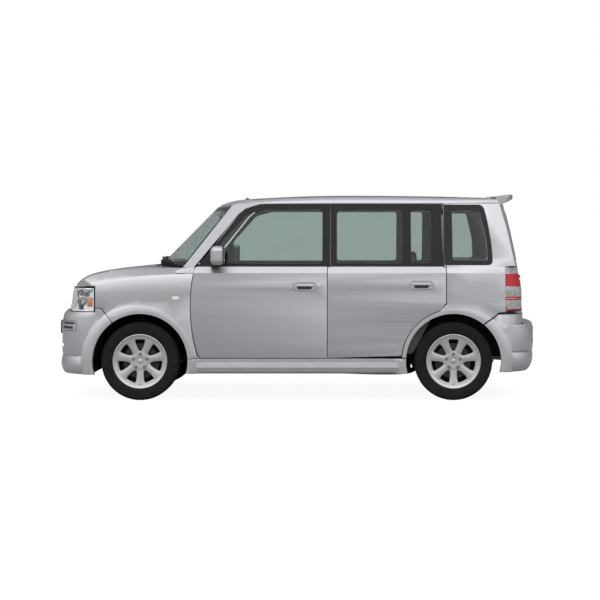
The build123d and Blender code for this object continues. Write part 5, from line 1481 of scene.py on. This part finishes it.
def dashboard_details():
    """Instruments, air vents, blank centre panel, glove box, console, levers and stalks."""
    face_x = 640
    hood = []
    for x, grow in ((612, -12), (618, 0), (700, 4), (760, -10)):
        edge = oval(360, 962, 300 + grow * 2, 96 + grow * 2, 36, 3.0)
        hood.append([(x, y, z + (x - 612) * 0.12) for y, z in edge])
    add_piece("instrument_hood", *lofted(hood), "dark_plastic", crease=50)
    dials = []
    for y, r in ((300, 38), (372, 30), (430, 34)):
        face = revolved(((0.4, 0), (r - 4, 0.4), (r - 3, 3.5), (r, 3.5), (r, -3), (0.4, -3)), 40)
        dials.append(moved(face, placed(611, y, 962, 90)))
    add_piece("instrument_dials", *joined(*dials), "black_gloss", crease=30)
    vents = []
    for y in (570, 120, -120, -570):
        vents.append(boxed(face_x - 28, face_x - 14, y - 62, y + 62, 872, 924, 6))
        for k in range(4):
            vents.append(boxed(face_x - 36, face_x - 27, y - 54, y + 54, 880 + 11 * k, 883 + 11 * k, 1))
    add_piece("air_vents", *joined(*vents), "dark_plastic")
    add_piece("centre_panel", *boxed(600, 632, -110, 110, 650, 862, 10), "black_gloss")
    knobs = []
    for y in (-60, 0, 60):
        knob = revolved(((0.4, 14), (15, 13), (17, 10), (18, -2), (0.4, -2)), 28)
        knobs.append(moved(knob, placed(598, y, 700, 90)))
    add_piece("heater_knobs", *joined(*knobs), "steel", crease=40)
    add_piece("glove_box_lid", *boxed(606, 640, -560, -180, 690, 840, 10), "trim")
    console = []
    for x, half, top in ((150, 70, 420), (200, 80, 440), (420, 82, 470), (560, 90, 620), (640, 95, 660)):
        console.append([(x, -half, 338), (x, half, 338), (x, half - 6, top - 12), (x, half - 18, top),
                        (x, -half + 18, top), (x, -half + 6, top - 12)])
    add_piece("centre_console", *lofted(console), "trim", crease=40)
    lever = joined(tube([(470, 20, 500), (450, 20, 560), (440, 20, 600)], 7, 12),
                   moved(revolved(((0.4, 26), (12, 24), (20, 12), (20, -6), (12, -22), (0.4, -24)), 24),
                         placed(438, 20, 620, 90, "X")))
    add_piece("gear_lever", *lever, "rubber", crease=50)
    add_piece("hand_brake", *tube([(60, -20, 400), (150, -20, 440), (260, -20, 480)], 13, 14), "dark_plastic")
    stalks = joined(tube([(560, 400, 872), (552, 470, 886), (548, 520, 896)], 7, 10),
                    tube([(560, 320, 872), (552, 250, 886), (548, 200, 896)], 7, 10))
    add_piece("column_stalks", *stalks, "dark_plastic")


SPOKE_SECTION = ((-1, -0.4), (-0.6, -1), (0.6, -1), (1, -0.4), (1, 0.6), (-1, 0.6))


def steering_wheel_cover():
    """The leather-covered steering wheel: a grooved rim, three padded spokes and a plain boss."""
    low, high = corners("steering_wheel")
    centre = Vector((500, (low.y + high.y) / 2, high.z - 180))
    axis = Vector((math.cos(math.radians(25)), 0, -math.sin(math.radians(25))))
    place = Matrix.Translation(centre) @ axis.to_track_quat("Z", "Y").to_matrix().to_4x4()
    spin = Matrix.Rotation(math.radians(90), 4, "X")
    rim = []
    for k in range(24):
        turn = 2 * math.pi * k / 24
        grip = 15.0 + 0.8 * math.sin(turn) - (0.7 if k in (5, 6, 7) else 0)
        rim.append((182 + grip * math.cos(turn), grip * math.sin(turn)))
    body = "steering_wheel"
    add_piece("steering_rim_cover", *moved(revolved(rim, 96), place @ spin), "rubber", body, crease=60,
              replaces=["steering_wheel"])
    boss = revolved(((0.4, 22), (44, 20), (58, 10), (62, -6), (60, -18), (20, -24), (0.4, -24)), 60)
    parts = [moved(boss, place @ spin)]
    for turn in (0, 180, 270):
        out = Matrix.Rotation(math.radians(turn + 90), 4, "Z")
        spoke = lofted([[(r, w * u, t * v) for u, v in SPOKE_SECTION]
                        for r, w, t in ((46, 26, 12), (90, 20, 11), (140, 15, 9), (174, 18, 8))])
        parts.append(moved(spoke, place @ out))
    add_piece("steering_boss", *joined(*parts), "dark_plastic", body, crease=40)


def mirror_and_visors():
    """The mirror behind the windscreen and the two sun visors."""
    glass = Skin("windscreen")
    foot = glass.hit((0, 0, 1500), (1, 0, 0))[0]
    x = foot.x - 82
    stem = tube([(foot.x - 4, 0, 1500), (x + 40, 0, 1492), (x + 12, 0, 1486)], 7, 10)
    add_piece("mirror_stem", *stem, "dark_plastic")
    shell = []
    for dx, grow in ((-4, -4), (0, 0), (16, 2), (26, -12)):
        shell.append([(x + dx, y, z) for y, z in oval(0, 1478, 236 + 2 * grow, 62 + 2 * grow, 36, 3.4)])
    add_piece("interior_mirror", *lofted(shell), "dark_plastic", crease=40)
    face = [[(x - dx, y, z) for y, z in oval(0, 1478, 220, 50, 36, 3.4)] for dx in (6, 3)]
    add_piece("interior_mirror_glass", *lofted(face), "mirror_glass")
    for sign, side in SIDES:
        add_piece(f"sun_visor_{side}", *side_box(sign, 360, 490, 130, 520, 1534, 1548, 6), "lining")


# --- engine bay ----------------------------------------------------------------------------------------
def engine_bay():
    """What shows with the bonnet up: engine cover, battery, radiator, bottle and a hose."""
    low, high = corners("engine_block")
    cover = boxed(low.x + 60, high.x - 60, -250, 250, high.z + 1, high.z + 46, 20)
    ribs = [boxed(low.x + 100 + 46 * k, low.x + 118 + 46 * k, -190, 190, high.z + 44, high.z + 54, 4)
            for k in range(6)]
    add_piece("engine_cover", *joined(cover, *ribs), "dark_plastic")
    add_piece("battery_case", *boxed(1636, 1772, 350, 540, 640, 850, 8), "dark_plastic")
    post = revolved(((0.4, 14), (8, 14), (9, 0), (0.4, 0)), 16)
    posts = [moved(post, placed(x, 500, 850, 90, "X")) for x in (1660, 1750)]
    add_piece("battery_posts", *joined(*posts), "steel")
    fins = [boxed(1716, 1728, -290, 290, 440 + 9 * k, 443 + 9 * k, 1, 1) for k in range(38)]
    tanks = [boxed(1706, 1736, y0, y1, 430, 790, 8) for y0, y1 in ((-330, -290), (290, 330))]
    add_piece("radiator", *joined(*fins, *tanks), "engine")
    hose = smooth_run([(1700, -280, 770), (1650, -280, 800), (1600, -240, 830), (1545, -200, 850)], 24)
    add_piece("radiator_hose", *tube(hose, 18, 14), "rubber")
    add_piece("washer_bottle", *boxed(1640, 1740, -520, -380, 600, 840, 24), "lining")


# --- stage ---------------------------------------------------------------------------------------
STUDIO_LEVELS = ((-0.1, 0.31), (0.02, 0.48), (0.14, 1.08), (0.30, 1.08), (0.48, 1.3), (0.64, 2.15),
                 (0.86, 1.9), (1.0, 0.9))
LEVEL_SCALE = 3.0


def studio_world():
    """A white studio to the eye. For other rays it is dim at the horizon and brightest high on the left."""
    world = bpy.data.worlds.new("studio")
    world.use_nodes = True
    tree = world.node_tree
    background = tree.nodes["Background"]
    coords, split = tree.nodes.new("ShaderNodeTexCoord"), tree.nodes.new("ShaderNodeSeparateXYZ")
    rise, path = tree.nodes.new("ShaderNodeMapRange"), tree.nodes.new("ShaderNodeLightPath")
    curve, gain = tree.nodes.new("ShaderNodeValToRGB"), tree.nodes.new("ShaderNodeMath")
    across = tree.nodes.new("ShaderNodeMapRange")
    seen, level = tree.nodes.new("ShaderNodeMath"), tree.nodes.new("ShaderNodeMix")
    low, high = STUDIO_LEVELS[0][0], STUDIO_LEVELS[-1][0]
    rise.inputs[1].default_value, rise.inputs[2].default_value = low, high
    stops = curve.color_ramp.elements
    while len(stops) < len(STUDIO_LEVELS):
        stops.new(0.5)
    for stop, (height, value) in zip(stops, STUDIO_LEVELS):
        stop.position = (height - low) / (high - low)
        stop.color = grey(value / LEVEL_SCALE)
    gain.operation, seen.operation = "MULTIPLY", "MAXIMUM"
    across.inputs[1].default_value, across.inputs[2].default_value = -0.5, 0.5
    across.inputs[3].default_value, across.inputs[4].default_value = 0.8, 3.1
    level.data_type = "FLOAT"
    level.inputs[3].default_value = 1.0
    background.inputs["Color"].default_value = (1, 1, 1, 1)
    wire(tree, (
        (coords.outputs["Generated"], split.inputs[0]), (split.outputs["Z"], rise.inputs["Value"]),
        (rise.outputs["Result"], curve.inputs["Fac"]), (curve.outputs["Color"], gain.inputs[0]),
        (split.outputs["Y"], across.inputs["Value"]), (across.outputs["Result"], gain.inputs[1]),
        (path.outputs["Is Camera Ray"], seen.inputs[0]),
        (path.outputs["Is Transmission Ray"], seen.inputs[1]),
        (seen.outputs[0], level.inputs[0]), (gain.outputs[0], level.inputs[2]),
        (level.outputs[0], background.inputs["Strength"]),
    ))
    bpy.context.scene.world = world


def floor_material():
    """A matt floor: white to the eye with only a faint shadow, and a plain grey to all other rays."""
    g = Graph("floor", Roughness=0.8)
    path = g.add("ShaderNodeLightPath")
    eye = path.outputs["Is Camera Ray"]
    cloud = g.ramp(g.noise(0.4, 2.0), 0.3, 0.7)
    g.set("Base Color", g.mix(eye, g.mix(cloud, grey(0.30), grey(0.32)), grey(0.10)))
    g.set("Emission Color", grey(1.0))
    g.set("Emission Strength", g.math("MULTIPLY", eye, 0.93))
    return g.material


def stage():
    mesh = bpy.data.meshes.new("floor")
    mesh.from_pydata([(-60, -60, 0), (60, -60, 0), (60, 60, 0), (-60, 60, 0)], [], [(0, 1, 2, 3)])
    floor = add_object("floor", mesh)
    mesh.materials.append(floor_material())
    studio_world()
    lights = (
        ("overhead", (0.2, 2.6, 6.2), (0, 0.3, 0.8), 8.0, 3.2, 36.0),
        ("front", (6.5, 2.5, 3.4), (1.5, 0, 0.7), 3.0, 3.0, 45.0),
        ("far", (-1.0, -6.0, 5.0), (0, 0, 0.8), 6.0, 3.0, 70.0),
    )
    for name, place, target, width, height, power in lights:
        data = bpy.data.lights.new(name, "AREA")
        data.shape, data.size, data.size_y, data.energy = "RECTANGLE", width, height, power
        light = add_object(name, data)
        light.location = place
        light.visible_glossy = False
        light.rotation_euler = (Vector(target) - Vector(place)).to_track_quat("-Z", "Y").to_euler()


def camera():
    data = bpy.data.cameras.new("camera")
    data.lens, data.sensor_width = 94.3, 36.0
    data.shift_x, data.shift_y = -0.075, -0.105
    data.clip_end = 100.0
    eye = add_object("camera", data)
    eye.location = (-0.397, 13.345, 1.303)
    eye.rotation_euler = (math.radians(90), 0, math.radians(180))
    bpy.context.scene.camera = eye


dress_nodes()
for end_name in ("front", "rear"):
    for side_name in ("left", "right"):
        wheel(end_name, side_name)
        caliper(end_name, side_name)
for build in (
    window_trim, side_fittings, mirrors, cowl_corners, windscreen_band, head_lamps, front_details,
    arch_liners, shields, underside, tail_lamps, tailgate_details, roof_details, wiper_arms,
    seats, door_cards, cabin_lining, dashboard_details, steering_wheel_cover, mirror_and_visors, engine_bay,
    stage, camera,
):
    build()
bpy.context.scene.view_settings.view_transform = "Standard"
